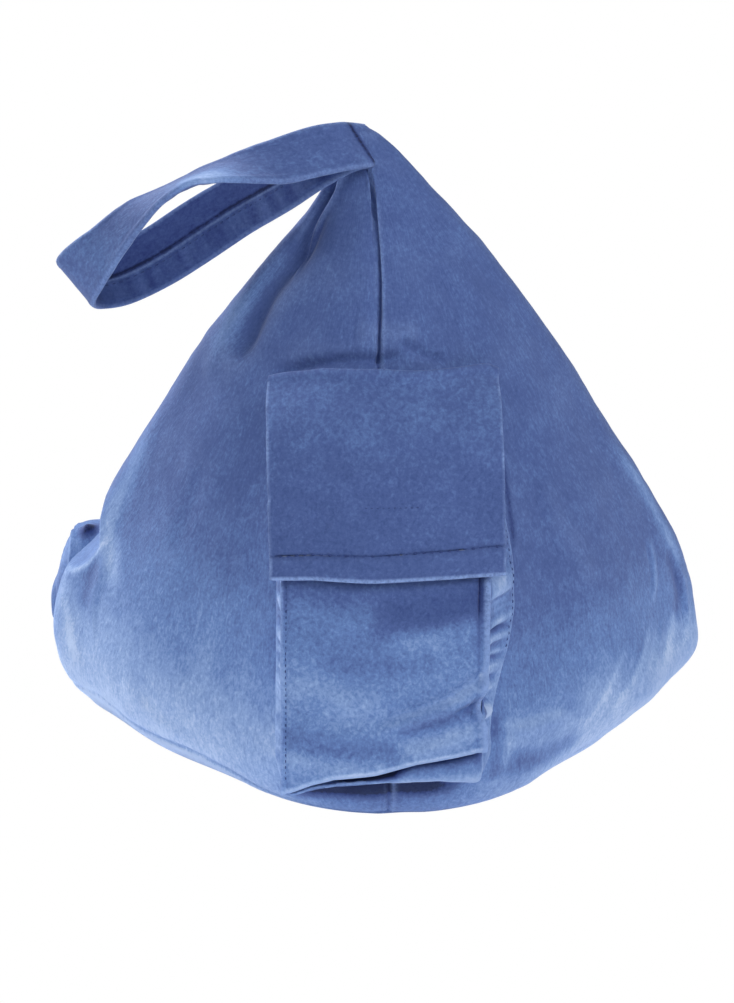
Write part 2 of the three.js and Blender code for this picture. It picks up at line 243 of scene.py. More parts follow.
def grid_faces(rows, columns, wrap=False, start=0, flip=False):
    """Quads of a grid of points numbered row by row from start."""
    r = np.arange(rows - 1)[:, None] * columns
    c = np.arange(columns if wrap else columns - 1)[None, :]
    n = (c + 1) % columns
    quads = np.stack([r + c, r + n, r + columns + n, r + columns + c], -1).reshape(-1, 4) + start
    return (quads[:, ::-1] if flip else quads).tolist()


def closed_skin(rings):
    """Points and faces of rings joined into one closed skin, each end brought to a point."""
    rows, columns = rings.shape[:2]
    points = np.concatenate([rings.reshape(-1, 3), rings[:1].mean(1), rings[-1:].mean(1)])
    faces = grid_faces(rows, columns, wrap=True)
    first, last = rows * columns, rows * columns + 1
    top = (rows - 1) * columns
    for c in range(columns):
        n = (c + 1) % columns
        faces.append([first, n, c])
        faces.append([last, top + c, top + n])
    return points, faces


RIM_STEPS = 4


def sheet_skin(middle, front, back):
    """Points and faces of a closed sheet round a grid of middle points, with a rounded rim.
    front and back are how far its two faces stand off the middle, on the grid or as one number.
    The front lies on the side that the rows' way crossed with the columns' way points to."""
    rows, columns = middle.shape[:2]
    front = np.broadcast_to(front, (rows, columns))[..., None]
    back = np.broadcast_to(back, (rows, columns))[..., None]
    normal = -grid_normals(middle)
    count = rows * columns
    loop = [(0, c) for c in range(columns)] + [(r, columns - 1) for r in range(1, rows)]
    loop += [(rows - 1, c) for c in range(columns - 2, -1, -1)] + [(r, 0) for r in range(rows - 2, 0, -1)]
    r, c = np.array(loop).T
    inner = middle[np.clip(r, 1, rows - 2), np.clip(c, 1, columns - 2)]
    n = normal[r, c]
    out = middle[r, c] - inner
    out = unit(out - (out * n).sum(-1, keepdims=True) * n)
    centre = middle[r, c] + n * (front[r, c] - back[r, c]) / 2
    half = (front[r, c] + back[r, c]) / 2
    rim = []
    for k in range(1, RIM_STEPS):
        angle = math.pi * k / RIM_STEPS
        rim.append(centre + half * (math.cos(angle) * n + math.sin(angle) * out))
    sides = [(middle + normal * front).reshape(-1, 3), (middle - normal * back).reshape(-1, 3)]
    points = np.concatenate([*sides, *rim])
    faces = grid_faces(rows, columns, flip=True) + grid_faces(rows, columns, start=count)
    lines = [r * columns + c]
    lines += [2 * count + k * len(loop) + np.arange(len(loop)) for k in range(RIM_STEPS - 1)]
    lines.append(count + r * columns + c)
    for a, b in zip(lines, lines[1:]):
        faces += np.stack([a, np.roll(a, -1), np.roll(b, -1), b], -1).tolist()
    return points, faces, (r, c)


def over_sheet(values, rim):
    """Values on a sheet's grid, repeated for its front, its back and its rim."""
    flat = values.reshape((-1,) + values.shape[2:])
    edge = values[rim[0], rim[1]]
    return np.concatenate([flat, flat, *[edge] * (RIM_STEPS - 1)])


# A crease is felt within this reach of its path, and points farther away are taken as far off
CREASE_REACH = 40
FAR = 1e3
# Share of a crease's length over which it fades in and out, and how far its trough lies beside
# its ridge, in half widths
CREASE_FADE = 0.22
TROUGH_AWAY = 1.7


def path_distance(points, path, normals):
    """For each point the distance to a path, its side of it, and its place along it from 0 to 1."""
    flat = points.reshape(-1, 3)
    near = np.all((flat > path.min(0) - CREASE_REACH) & (flat < path.max(0) + CREASE_REACH), axis=1)
    distance = np.full(len(flat), FAR)
    side = np.ones(len(flat))
    place = np.zeros(len(flat))
    best = np.full(near.sum(), FAR)
    best_side = np.ones(len(best))
    best_place = np.zeros(len(best))
    at, up = flat[near], normals.reshape(-1, 3)[near]
    for k, (a, b) in enumerate(zip(path, path[1:])):
        way = b - a
        t = np.clip((at - a) @ way / max(way @ way, 1e-9), 0, 1)
        off = at - a - t[:, None] * way
        d = np.linalg.norm(off, axis=1)
        closer = d < best
        best[closer] = d[closer]
        best_side[closer] = np.sign((np.cross(way, off) * up).sum(1))[closer]
        best_place[closer] = ((k + t) / (len(path) - 1))[closer]
    distance[near], side[near], place[near] = best, best_side, best_place
    shape = points.shape[:-1]
    return distance.reshape(shape), side.reshape(shape), place.reshape(shape)


def crease_lift(points, normals, path, height, width, lean=0.0):
    """How far a soft ridge (height above 0) or trough lifts each point. With lean it has a
    trough beside it, on its left as the path runs on the surface where lean is above 0."""
    distance, side, place = path_distance(points, smooth_rows(path, 8 * len(path)), normals)
    ends = ramp(place, 0, CREASE_FADE) * ramp(1 - place, 0, CREASE_FADE)
    signed = distance * side
    lift = hump(signed, width)
    if lean:
        lift = lift - abs(lean) * hump(signed - math.copysign(TROUGH_AWAY * width, lean), width)
    return height * lift * ends


# Objects and what they are made of


def make_piece(name, points, faces, material, wear_and_highlight=None, nap=None, nap_and_painted_light=None):
    """A smooth mesh object from points in millimetres, riding on the pillow's body."""
    mesh = bpy.data.meshes.new(name)
    mesh.from_pydata((np.asarray(points) * MM).tolist(), [], faces)
    mesh.polygons.foreach_set("use_smooth", [True] * len(mesh.polygons))
    mesh.materials.append(material)
    for key, kind, values in (("wear_and_highlight", "FLOAT", wear_and_highlight), ("nap", "FLOAT_VECTOR", nap), ("nap_and_painted_light", "FLOAT", nap_and_painted_light)):
        if values is None:
            continue
        layer = mesh.attributes.new(key, kind, "POINT")
        layer.data.foreach_set("value" if kind == "FLOAT" else "vector", np.ravel(values).astype(np.float32))
    mesh.update()
    piece = bpy.data.objects.new(name, mesh)
    bpy.context.scene.collection.objects.link(piece)
    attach(piece, BODY)
    return piece


# What keeps the strokes of one sheet's nap from running on into the next, in millimetres
NAP_SHIFTS = {"pocket_panel": 300, "pocket_side": 600, "flap": 900, "loop_band": 1200}


def make_sheet(name, skin, wear_and_highlight, nap, nap_and_painted_light):
    """A piece from a sheet's skin, with what holds for its grid on its front, back and rim."""
    points, faces, rim = skin
    nap = nap + NAP_SHIFTS[name]
    return make_piece(name, points, faces, cloth_material(), *(over_sheet(v, rim) for v in (wear_and_highlight, nap, nap_and_painted_light)))


def surface_of(obj):
    """A search tree over an object's faces."""
    return BVHTree.FromPolygons([v.co for v in obj.data.vertices], [p.vertices[:] for p in obj.data.polygons])


def skin_point(tree, start, way):
    """Where a line from a place inside a solid, in metres, leaves it, in millimetres."""
    hit = tree.ray_cast(start, Vector(way))[0]
    if hit is None:
        raise RuntimeError("A line from inside a solid doesn't meet its skin")
    return hit / MM


# Depth from which the nearest place is looked for, where a line misses a surface
MISSED_FROM = -60


def depth_at(tree, x, z, from_behind=False):
    """Depth, in millimetres, at which a line along Y first meets a surface at a place across and up."""
    start, way = (1, -1) if from_behind else (-1, 1)
    hit = tree.ray_cast(Vector((x * MM, start, z * MM)), Vector((0, way, 0)))[0]
    if hit is None:
        hit = tree.find_nearest(Vector((x, MISSED_FROM, z)) * MM)[0]
    return hit.y / MM


def depths_at(tree, xs, zs):
    """Depths at rows or grids of places across and up."""
    depths = [depth_at(tree, x, z) for x, z in zip(np.ravel(xs), np.ravel(zs))]
    return np.array(depths).reshape(np.shape(xs))


def creases_lift(points, normals, tree, creases):
    """What a table's creases add at each point. A row of it holds how much, half the width, the
    share of a trough beside it where it has one, and the places across and up on a surface."""
    lift = np.zeros(points.shape[:-1])
    for amount, width, *lean, places in creases:
        path = np.array([(x, depth_at(tree, x, z), z) for x, z in places])
        lift += crease_lift(points, normals, path, amount, width, *lean)
    return lift


def add_node(tree, kind, attributes=None, values=None, links=None):
    """Adds a node, sets its own attributes and its sockets' values, and links its inputs."""
    made = tree.nodes.new(kind)
    for name, value in (attributes or {}).items():
        setattr(made, name, value)
    for name, value in (values or {}).items():
        made.inputs[name].default_value = value
    for name, source in (links or {}).items():
        tree.links.new(source, made.inputs[name])
    return made


def new_material(name):
    """A material and its node tree, which is empty."""
    material = bpy.data.materials.new(name)
    material.use_nodes = True
    material.node_tree.nodes.clear()
    return material, material.node_tree


# How the nap's mottle is mixed: strokes over patches, then grain over both, and its contrast
STROKE_SHARE = 0.7
GRAIN_SHARE = 0.36
MOTTLE_CONTRAST = 0.86
MOTTLE_BASE = 0.07
# How far along its shades the cloth moves for each unit of painted light, and back for each unit of painted
# shade
PAINTED_LIGHT_STEP = 0.3
# The shades of the nap, its two ends first: place on the scale, and the colour's setting. The middle three
# are the nap's own tones; the two lowest are painted shade and the two highest painted light
NAP_SHADES = (
    (0.0, "nap_crushed"), (1.0, "nap_pale"), (0.18, "nap_shaded"), (0.38, "nap_dark"), (0.5, "nap_middle"),
    (0.68, "nap_light"), (0.84, "nap_bright"),
)


SHEEN_COLOUR = "c4d4f7"


def brushed_microsuede():
    """Polyester microsuede, a dense knit whose face is sanded to a short nap and piece dyed.
    To the eye it is matt and powdery, paler where it turns away, and mottled and streaked where
    hands have brushed the nap one way or the other. Its colour also carries painted light and
    painted shade from the mesh: paler low on the cover and on lit folds, darker in hollows, creases
    and under the pocket. Folds, hems and rims are paler, partly from wear and partly as a painted
    highlight."""
    cloth = bpy.context.scene.pillow_cloth
    size = settings_mm(cloth)
    material, tree = new_material("brushed_microsuede")
    place = add_node(tree, "ShaderNodeTexCoord")
    in_mm = add_node(
        tree, "ShaderNodeVectorMath", {"operation": "SCALE"}, {"Scale": 1 / MM}, {0: place.outputs["Object"]}
    )
    strokes_at = add_node(tree, "ShaderNodeAttribute", {"attribute_name": "nap"})
    patch = add_node(
        tree, "ShaderNodeTexNoise", None,
        {"Scale": 1 / size["patch"], "Detail": 2.0, "Roughness": 0.5, "Distortion": 0.5},
        {"Vector": in_mm.outputs[0]},
    )
    stretched = add_node(
        tree, "ShaderNodeMapping", None,
        {"Scale": (1 / size["stroke"], 1 / size["stroke_run"], 1)},
        {"Vector": strokes_at.outputs["Vector"]},
    )
    stroke = add_node(
        tree, "ShaderNodeTexNoise", None,
        {"Scale": 1.0, "Detail": 4.0, "Roughness": 0.62, "Distortion": 0.9},
        {"Vector": stretched.outputs[0]},
    )
    grain = add_node(
        tree, "ShaderNodeTexNoise", None,
        {"Scale": 1 / size["grain"], "Detail": 2.0, "Roughness": 0.7},
        {"Vector": in_mm.outputs[0]},
    )
    mottle = add_node(
        tree, "ShaderNodeMix", None, {"Factor": STROKE_SHARE},
        {"A": patch.outputs["Fac"], "B": stroke.outputs["Fac"]},
    )
    mottle = add_node(
        tree, "ShaderNodeMix", None, {"Factor": GRAIN_SHARE},
        {"A": mottle.outputs["Result"], "B": grain.outputs["Fac"]},
    )
    mottle = add_node(
        tree, "ShaderNodeMath", {"operation": "MULTIPLY_ADD"}, {1: MOTTLE_CONTRAST, 2: MOTTLE_BASE},
        {0: mottle.outputs["Result"]},
    )
    # Painted light (above 0) and painted shade (below 0), carried by the mesh, move the tone along the shades
    brushed = add_node(tree, "ShaderNodeAttribute", {"attribute_name": "nap_and_painted_light"})
    tone = add_node(
        tree, "ShaderNodeMath", {"operation": "MULTIPLY_ADD"}, {1: PAINTED_LIGHT_STEP},
        {0: brushed.outputs["Fac"], 2: mottle.outputs[0]},
    )
    shades = add_node(tree, "ShaderNodeValToRGB", None, None, {"Fac": tone.outputs[0]})
    stops = shades.color_ramp.elements
    for i, (position, setting) in enumerate(NAP_SHADES):
        stop = stops[i] if i < 2 else stops.new(position)
        stop.color = (*getattr(cloth, setting), 1)
    # Paler folds, hems and rims, carried by the mesh: partly wear and partly painted highlight
    rubbed_and_lit = add_node(tree, "ShaderNodeAttribute", {"attribute_name": "wear_and_highlight"})
    patchy = add_node(
        tree, "ShaderNodeMapRange", None, {"From Min": 0.3, "From Max": 0.6, "To Min": 0.45},
        {"Value": grain.outputs["Fac"]},
    )
    wear_and_highlight_share = add_node(
        tree, "ShaderNodeMath", {"operation": "MULTIPLY", "use_clamp": True}, None,
        {0: rubbed_and_lit.outputs["Fac"], 1: patchy.outputs[0]},
    )
    coloured = add_node(
        tree, "ShaderNodeMix", {"data_type": "RGBA"}, {"B": (*cloth.wear_and_highlight, 1)},
        {"Factor": wear_and_highlight_share.outputs[0], "A": shades.outputs["Color"]},
    )
    fibre = add_node(
        tree, "ShaderNodeBump", None, {"Strength": 0.22, "Distance": 0.3 * MM},
        {"Height": grain.outputs["Fac"]},
    )
    # The relief of the nap's strokes over the fibres' grain, which only tilts the normals
    nap_and_painted_light = add_node(
        tree, "ShaderNodeBump", None, {"Strength": 0.25, "Distance": 0.8 * MM},
        {"Height": stroke.outputs["Fac"], "Normal": fibre.outputs[0]},
    )
    shader = add_node(
        tree, "ShaderNodeBsdfPrincipled", None,
        {"Roughness": 0.92, "IOR": 1.5, "Specular IOR Level": 0.15, "Sheen Weight": 0.35,
         "Sheen Roughness": 0.45, "Sheen Tint": (*linear(SHEEN_COLOUR), 1)},
        {"Base Color": coloured.outputs["Result"], "Normal": nap_and_painted_light.outputs[0]},
    )
    add_node(tree, "ShaderNodeOutputMaterial", None, None, {"Surface": shader.outputs[0]})
    return material


def polyester_thread():
    """Spun polyester sewing thread, a shade deeper than the cloth, with a soft dull gleam."""
    material, tree = new_material("spun_polyester_thread")
    shader = add_node(
        tree, "ShaderNodeBsdfPrincipled", None,
        {"Base Color": (*bpy.context.scene.pillow_cloth.thread, 1), "Roughness": 0.6,
         "Specular IOR Level": 0.3},
    )
    add_node(tree, "ShaderNodeOutputMaterial", None, None, {"Surface": shader.outputs[0]})
    return material


def shared_material(name, make):
    """The material of that name, made the first time that a piece asks for it."""
    return bpy.data.materials.get(name) or make()


def cloth_material():
    return shared_material("brushed_microsuede", brushed_microsuede)


def thread_material():
    return shared_material("spun_polyester_thread", polyester_thread)


# Sides of a stitch's round section, where its rings lie from end to end, and how far ahead and
# behind its way is read
STITCH_SIDES = 6
STITCH_RINGS = (-1, -0.7, -0.25, 0.25, 0.7, 1)
STITCH_STEP = 0.2


def stitch_row(path, normals, pitch=3.1, share=0.7, radius=0.3):
    """Points and faces of a row of stitches along a path on a cloth's face, each a short bead of
    thread whose ends go down into the cloth."""
    reach = reach_along(path)
    points = []
    faces = []
    for middle in np.arange(pitch / 2, reach[-1], pitch):
        uneven = 0.8 * noise.noise(Vector((middle * 0.41, pitch, share)))
        for u in STITCH_RINGS:
            at = np.clip(middle + u * share * pitch / 2, 0, reach[-1])
            up = unit(point_on(normals, reach, at))
            ahead = point_on(path, reach, at + STITCH_STEP) - point_on(path, reach, at - STITCH_STEP)
            across = unit(np.cross(ahead, up))
            centre = point_on(path, reach, at) + up * radius * (0.7 + uneven - 1.3 * u * u)
            size = radius * (1 + 0.4 * uneven) * math.sqrt(1.02 - u * u)
            for k in range(STITCH_SIDES):
                angle = 2 * math.pi * k / STITCH_SIDES
                points.append(centre + size * (math.cos(angle) * across + math.sin(angle) * up))
        base = len(points) - len(STITCH_RINGS) * STITCH_SIDES
        faces += grid_faces(len(STITCH_RINGS), STITCH_SIDES, wrap=True, start=base, flip=True)
        faces.append(list(range(base, base + STITCH_SIDES)))
        faces.append(list(range(len(points) - 1, len(points) - 1 - STITCH_SIDES, -1)))
    return points, faces


def make_stitches(name, rows):
    """One object of all the rows of stitches on a piece."""
    points = []
    faces = []
    for row_points, row_faces in rows:
        faces += [[i + len(points) for i in face] for face in row_faces]
        points += row_points
    return make_piece(name, np.array(points), faces, thread_material())


# The filled body


# Columns of the skin from the back seam to the right corner, from there to the left corner and
# on to the seam again
BODY_SIDES = (170, 140, 170)
# The line inside the body that its rings go round: place across and depth, at foot and tip
BODY_AXIS_FOOT = (2, -10)
BODY_AXIS_TIP = (-5.2, -34)
BODY_RAYS = 720
BODY_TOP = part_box("body")[1].z / MM
# How far out from the middle the rings of the underside lie, and those that close the tip, which
# also have how far they rise above the last full ring
UNDERSIDE_SHARES = (0.04, 0.2, 0.4, 0.58, 0.73, 0.85, 0.93, 0.975)
TIP_SHARES = ((0.85, 0.25), (0.6, 0.45), (0.3, 0.55))
# The ways in which the right and the left corner lie, seen from above
CORNER_TURNS_DEG = (25, 155)
# How much closer together columns stand at the two ends of each side than in its middle
SIDE_CROWDING = ((0.75, 0.3), (0.3, 0.3), (0.3, 0.75))
RIGHT_COLUMN = BODY_SIDES[0]
LEFT_COLUMN = BODY_SIDES[0] + BODY_SIDES[1]
# The ring, counted from the foot, whose lengths place the nap's strokes across
NAP_RING = 25

# Where the back seam runs: height and place across
BACK_SEAM = (
    (0, 8), (60, 8), (100, 6), (140, 5), (165, 4.3), (186, 4.8), (204, 4), (220, 2.6), (233, 1),
    (247, -5.5),
)

# Creases and hollows of the cover's back, as the filling and the sewing leave them:
# height of the ridge (below 0 for a trough), half its width, the share of a trough beside it,
# and the places across and up that it runs through
BACK_CREASES = (
    (2.4, 1.7, -1.0, ((-6, 234), (-9, 229), (-12.5, 222), (-18, 213), (-24.5, 201), (-29, 191))),
    (-2.4, 2.4, 0, ((-9.5, 229), (-15, 219), (-21, 207), (-28, 195))),
    (1.2, 6, 0, ((-27, 203), (-37, 188), (-50, 174), (-58, 160), (-64, 148))),
    (-5.0, 6, 0, ((-14, 214), (-24.5, 202), (-32, 193), (-38, 185), (-43, 176), (-47, 167), (-51, 158))),
    (-3.2, 1.6, 0, ((-36, 155), (-28, 160), (-18, 163.5), (-8, 165.5), (4, 165.8), (10, 166.5), (16, 167.5))),
    (-2.2, 1.5, 0, ((12, 173), (17, 169.5), (24, 166), (30, 164))),
    (0.9, 5.0, 0, ((-5, 176), (8, 175), (20, 173))),
    (0.7, 1.7, -0.6, ((117, 78), (119.5, 70), (120.5, 61), (119, 52))),
    (0.9, 2.2, -0.8, ((132, 62), (136, 54), (138.5, 44), (139.5, 32), (137, 20))),
    (-0.7, 3.6, 0, ((127, 70), (131, 60), (134, 48), (133, 36))),
    (0.4, 2.2, -0.6, ((126, 44), (121, 33), (112, 22), (103, 15))),
    (0.3, 2.0, 0.7, ((119, 40), (112, 29), (102, 20), (93, 14))),
    (0.8, 2.4, 0.8, ((54, 33), (60, 31), (68, 29), (78, 27.5))),
    (-1.0, 6.0, 0, ((50, 24), (60, 20), (72, 16), (84, 14))),
    (0.5, 3.2, 0.6, ((-108, 72), (-113, 58), (-116, 45), (-114, 32))),
    (-0.6, 6.0, 0, ((-100, 92), (-105, 76), (-106, 60))),
    (0.4, 3.0, 0.6, ((-100, 26), (-90, 20), (-80, 16), (-68, 13))),
    (-0.6, 5.0, 0, ((-62, 120), (-70, 100), (-76, 82))),
    (0.5, 6.0, 0, ((62, 118), (74, 100), (84, 84), (90, 70))),
    (-0.7, 7.0, 0, ((52, 140), (62, 118), (70, 98))),
)

# How far to the left the cover reaches where its corner is drawn in: height, place across
CORNER_LIMIT = (
    (40, -170), (45, -146), (49, -138), (53, -134), (57, -128.5), (62, -121), (67, -116), (72, -112.5),
    (83, -112.5), (92, -110.5), (104, -105),
)
# Height up to which it is drawn in, and how softly the cloth turns into the fold
CORNER_TOP = 108
CORNER_TURN = 1.2

# Painted light by height, paler towards the foot where the light table lights the cover: height, to the left,
# to the right
PAINTED_LIGHT_BY_HEIGHT = (
    (0, 1.7, 1.6), (10, 1.6, 1.5), (18, 1.42, 1.35), (25, 1.3, 1.2), (33, 1.1, 0.85), (38, 1.0, 0.6),
    (45, 0.85, 0.48), (55, 0.62, 0.4), (65, 0.52, 0.2), (78, 0.42, 0.0), (95, 0.18, 0.0), (115, 0.0, 0.0),
)
# Painted highlights (above 0) and painted shade on the back, on its ridges and lit rims, in its hollows,
# beside the flap and the pocket and under the pocket's lip: how much, half width, places
BACK_PAINTED_LIGHT = (
    (0.8, 5.0, ((-24, 207), (-33, 195), (-42, 185), (-49.5, 176), (-55, 167), (-60, 157))),
    (-1.0, 5.0, ((-12, 219), (-18, 210), (-27, 200), (-34, 191), (-39.5, 183), (-44, 174.5), (-48, 165))),
    (0.75, 7.0, (
        (-82, 132), (-92, 118), (-99, 104), (-104, 94), (-108, 84), (-108, 76), (-105, 66), (-101, 56),
    )),
    (-0.45, 6.0, ((-112, 70), (-116, 60), (-119, 50), (-120, 42))),
    (0.8, 1.6, ((-106, 80), (-111, 74), (-115, 68), (-120, 62.5), (-126, 58), (-132, 53.5), (-138, 49))),
    (0.5, 4.0, ((-134, 54), (-132.5, 47), (-130.5, 40), (-129, 32), (-126, 24), (-121, 16))),
    (-0.4, 2.6, ((-142, 52), (-141.5, 46), (-140.5, 40), (-139, 33), (-137.5, 26), (-135, 18))),
    (-3.0, 3.6, ((-33, 8), (-24, 13.5), (-13, 17.5), (-2, 19), (12, 20), (24, 20), (34, 19))),
    (-0.8, 4.0, ((46, 44), (47, 34), (47, 24), (46, 16))),
    (-1.3, 1.2, ((49, 134), (51, 124), (52.5, 113), (54, 101), (54.5, 92))),
    (0.8, 4.0, ((98, 122), (106, 111), (114, 99), (121, 88), (127, 77), (132, 66), (135, 56))),
    (-0.6, 3.5, ((127, 70), (131, 60), (134, 48), (133, 36))),
    (0.5, 1.4, ((117, 80), (119.5, 70), (120.5, 61), (119, 50))),
    (0.5, 4.0, ((133, 44), (131, 36), (125, 27), (115, 18), (104, 12))),
    (0.3, 2.2, ((118, 46), (113, 36), (104, 26), (95, 18))),
    (-0.3, 1.8, ((114, 44), (108, 33), (100, 24), (91, 16))),
    (0.3, 2.0, ((104, 44), (98, 34), (90, 24), (80, 16))),
    (0.4, 1.8, ((46, 38), (56, 35), (66, 32.5), (78, 30))),
    (-0.8, 5.0, ((50, 22), (60, 18), (72, 15), (86, 12))),
)

# The seam to the underside shows low on the left: place across, height
FOOT_SEAM = (
    (-150, 2.5), (-115, 9.0), (-96, 8.2), (-80, 9.0), (-66, 10.0), (-50, 8.5), (-34, 4.0), (0, 2.5),
    (150, 2.5),
)


def body_levels():
    """Heights of the body's rings, closer together where it curves under and near the tip."""
    levels = [0.05]
    while levels[-1] < BODY_TOP - 0.8:
        z = levels[-1]
        levels.append(z + mix(0.6, 1.55, ramp(z, 0, 18)) * mix(1, 0.55, ramp(z, BODY_TOP - 30, BODY_TOP)))
    return levels


def ring_at(tree, z):
    """Points round the body at one height, from the back round by the right."""
    x, y = (mix(foot, tip, z / BODY_TOP) for foot, tip in zip(BODY_AXIS_FOOT, BODY_AXIS_TIP))
    start = Vector((x, y, z)) * MM
    ring = []
    for k in range(BODY_RAYS):
        angle = 2 * math.pi * k / BODY_RAYS - math.pi / 2
        ring.append(skin_point(tree, start, (math.cos(angle), math.sin(angle), 0)))
    return np.array(ring)


def ring_marks(ring, z):
    """Places along a ring of the back seam and of the right and left corners, as lengths."""
    closed = np.vstack([ring, ring[:1]])
    reach = reach_along(closed)
    back = np.r_[-BODY_RAYS // 5:BODY_RAYS // 5]
    seam_x = np.interp(z, *zip(*BACK_SEAM))
    places = np.where(back < 0, reach[back % BODY_RAYS] - reach[-1], reach[back % BODY_RAYS])
    marks = [np.interp(seam_x, ring[back % BODY_RAYS, 0], places)]
    for turn in CORNER_TURNS_DEG:
        way = np.array([math.cos(math.radians(turn)), math.sin(math.radians(turn)), 0])
        marks.append(reach[np.argmax(ring @ way)])
    return marks, reach, closed


def body_rings(tree):
    """The body's skin as rings of points. Column 0 is the back seam, and the corners have columns
    of their own, so that the seams run along columns."""
    levels = body_levels()
    found = []
    for z in levels:
        ring = ring_at(tree, z)
        found.append(ring_marks(ring, z))
    marks = blur(np.array([f[0] for f in found]), 4, 0)
    rings = []
    for (seam, right, left), (_, reach, closed) in zip(marks, found):
        spans = ((seam, right), (right, left), (left, reach[-1] + seam))
        places = []
        for (a, b), count, ends in zip(spans, BODY_SIDES, SIDE_CROWDING):
            u = np.arange(count) / count
            pull = mix(ends[0], ends[1], u)
            places.append(a + (b - a) * (u - pull * np.sin(2 * np.pi * u) / (2 * np.pi)))
        rings.append(point_on(closed, reach, np.concatenate(places) % reach[-1]))
    rings = blur(blur(np.array(rings), 3.0, 1, wrap=True), 3.5, 0)
    rings[..., 2] = np.array(levels)[:, None]
    middle = rings[0].mean(0)
    under = np.array([middle + share * (rings[0] - middle) for share in UNDERSIDE_SHARES])
    under[..., 2] = 0
    rings[0, :, 2] = 0
    tip = rings[-1].mean(0)
    over = []
    for share, rise in TIP_SHARES:
        ring = tip + share * (rings[-1] - tip)
        ring[:, 2] += rise
        over.append(ring)
    return np.concatenate([under, rings, np.array(over)])


def arc_from(rings, column):
    """Distance along each ring from one of its columns, below 0 to the left of it."""
    steps = np.linalg.norm(np.roll(rings, -1, 1) - rings, axis=-1)
    reach = np.cumsum(steps, axis=1) - steps
    whole = steps.sum(1, keepdims=True)
    arc = reach - reach[:, column:column + 1]
    return (arc + whole / 2) % whole - whole / 2


def back_seam_lift(rings, size):
    """The back seam's groove, and the puckers and the pull beside it."""
    seam = arc_from(rings, 0)
    height = rings[..., 2]
    puckers = rough(points_of(0, np.sign(seam) * 40, height), 6.5, 4)
    lift = 0.4 * puckers * np.exp(-np.abs(seam) / 6)
    lift -= size["seam_pull"] * np.exp(-np.abs(seam) / 5)
    shown = mix(0.3, 1.0, ramp(height, 22, 40))
    lift -= size["seam_depth"] * hump(seam, size["seam_width"]) * shown
    return lift + 0.3 * hump(np.abs(seam) - 2.6 * size["seam_width"], 0.7)


def corner_seam_lift(rings, column):
    """The seam of a corner, which runs along a column, and the puckers and the pull beside it."""
    corner = arc_from(rings, column)
    puckers = rough(points_of(0, np.sign(corner) * 40 + column, rings[..., 2]), 8, 5)
    return (0.6 * puckers - 0.9) * np.exp(-np.abs(corner) / 8) - hump(corner, 1.1)


def foot_seam_lift(rings, outside):
    """The groove of the seam to the underside, and the cloth that rolls out under it."""
    above = rings[..., 2] - np.interp(rings[..., 0], *zip(*FOOT_SEAM))
    shown = np.where(outside, mix(0.3, 0.8, ramp(rings[..., 0], -128, -80)), 0.6)
    return 0.35 * hump(above + 1.9, 1.0) * outside - 0.9 * hump(above, 0.9) * shown


def filling_lift(rings, size, outside):
    """Where the filling stands out or sinks in: low in the right corner, the hollow beside it,
    low in the left corner, and high on the right corner's seam."""
    x, height = rings[..., 0], rings[..., 2]
    lift = size["corner_fill"] * hump(height - 19, 10) * ramp(x, 100, 116)
    lift -= 1.6 * hump(x - 88, 12) * hump(height - 11, 9) * outside
    lift += 0.5 * hump(arc_from(rings, LEFT_COLUMN), 40) * hump(height - 46, 12)
    on_seam = hump(arc_from(rings, RIGHT_COLUMN), 5)
    return lift + 1.3 * on_seam * ramp(height, 198, 206) * ramp(224 - height, 0, 8)


def body_lift(rings, normals, tree):
    """How far the sewing and the filling lift or sink each point of the body's skin."""
    size = settings_mm(bpy.context.scene.pillow_body)
    height = rings[..., 2]
    outside = rings[..., 1] < rings[..., 1].mean()
    lift = size["softness"] * (rough(rings, 62, 1) + 0.45 * rough(rings, 24, 2) + 0.15 * rough(rings, 9, 3))
    lift += creases_lift(rings, normals, tree, BACK_CREASES)
    lift += back_seam_lift(rings, size)
    lift += corner_seam_lift(rings, RIGHT_COLUMN) + corner_seam_lift(rings, LEFT_COLUMN)
    lift += foot_seam_lift(rings, outside) + filling_lift(rings, size, outside)
    lift *= ramp(height, 0, 3) * ramp(BODY_TOP - height, -1, 12)
    seam = arc_from(rings, 0)
    over_root = (seam > 0) * np.exp(-np.abs(seam) / 9)
    over_root = over_root * ramp(height, 224, 235) * ramp(BODY_TOP - height, 0, 4)
    return lift + size["root_cover"] * over_root


def draw_in_corner(rings):
    """The left corner, drawn in above the ledge's end, so that a fold runs down to its point."""
    x, y, z = (rings[..., i] for i in range(3))
    limit = np.interp(z, *zip(*CORNER_LIMIT)) - 0.1 * np.maximum(y - 20, 0)
    beyond = limit - x
    kept = np.where(beyond > -CORNER_TURN, np.maximum(beyond + CORNER_TURN, 0) ** 2 / (4 * CORNER_TURN), 0)
    kept = np.where(beyond > CORNER_TURN, beyond, kept)
    moved = rings.copy()
    moved[..., 0] = x + kept * ramp(y, -12, 4) * ramp(CORNER_TOP - z, 0, 14)
    return moved


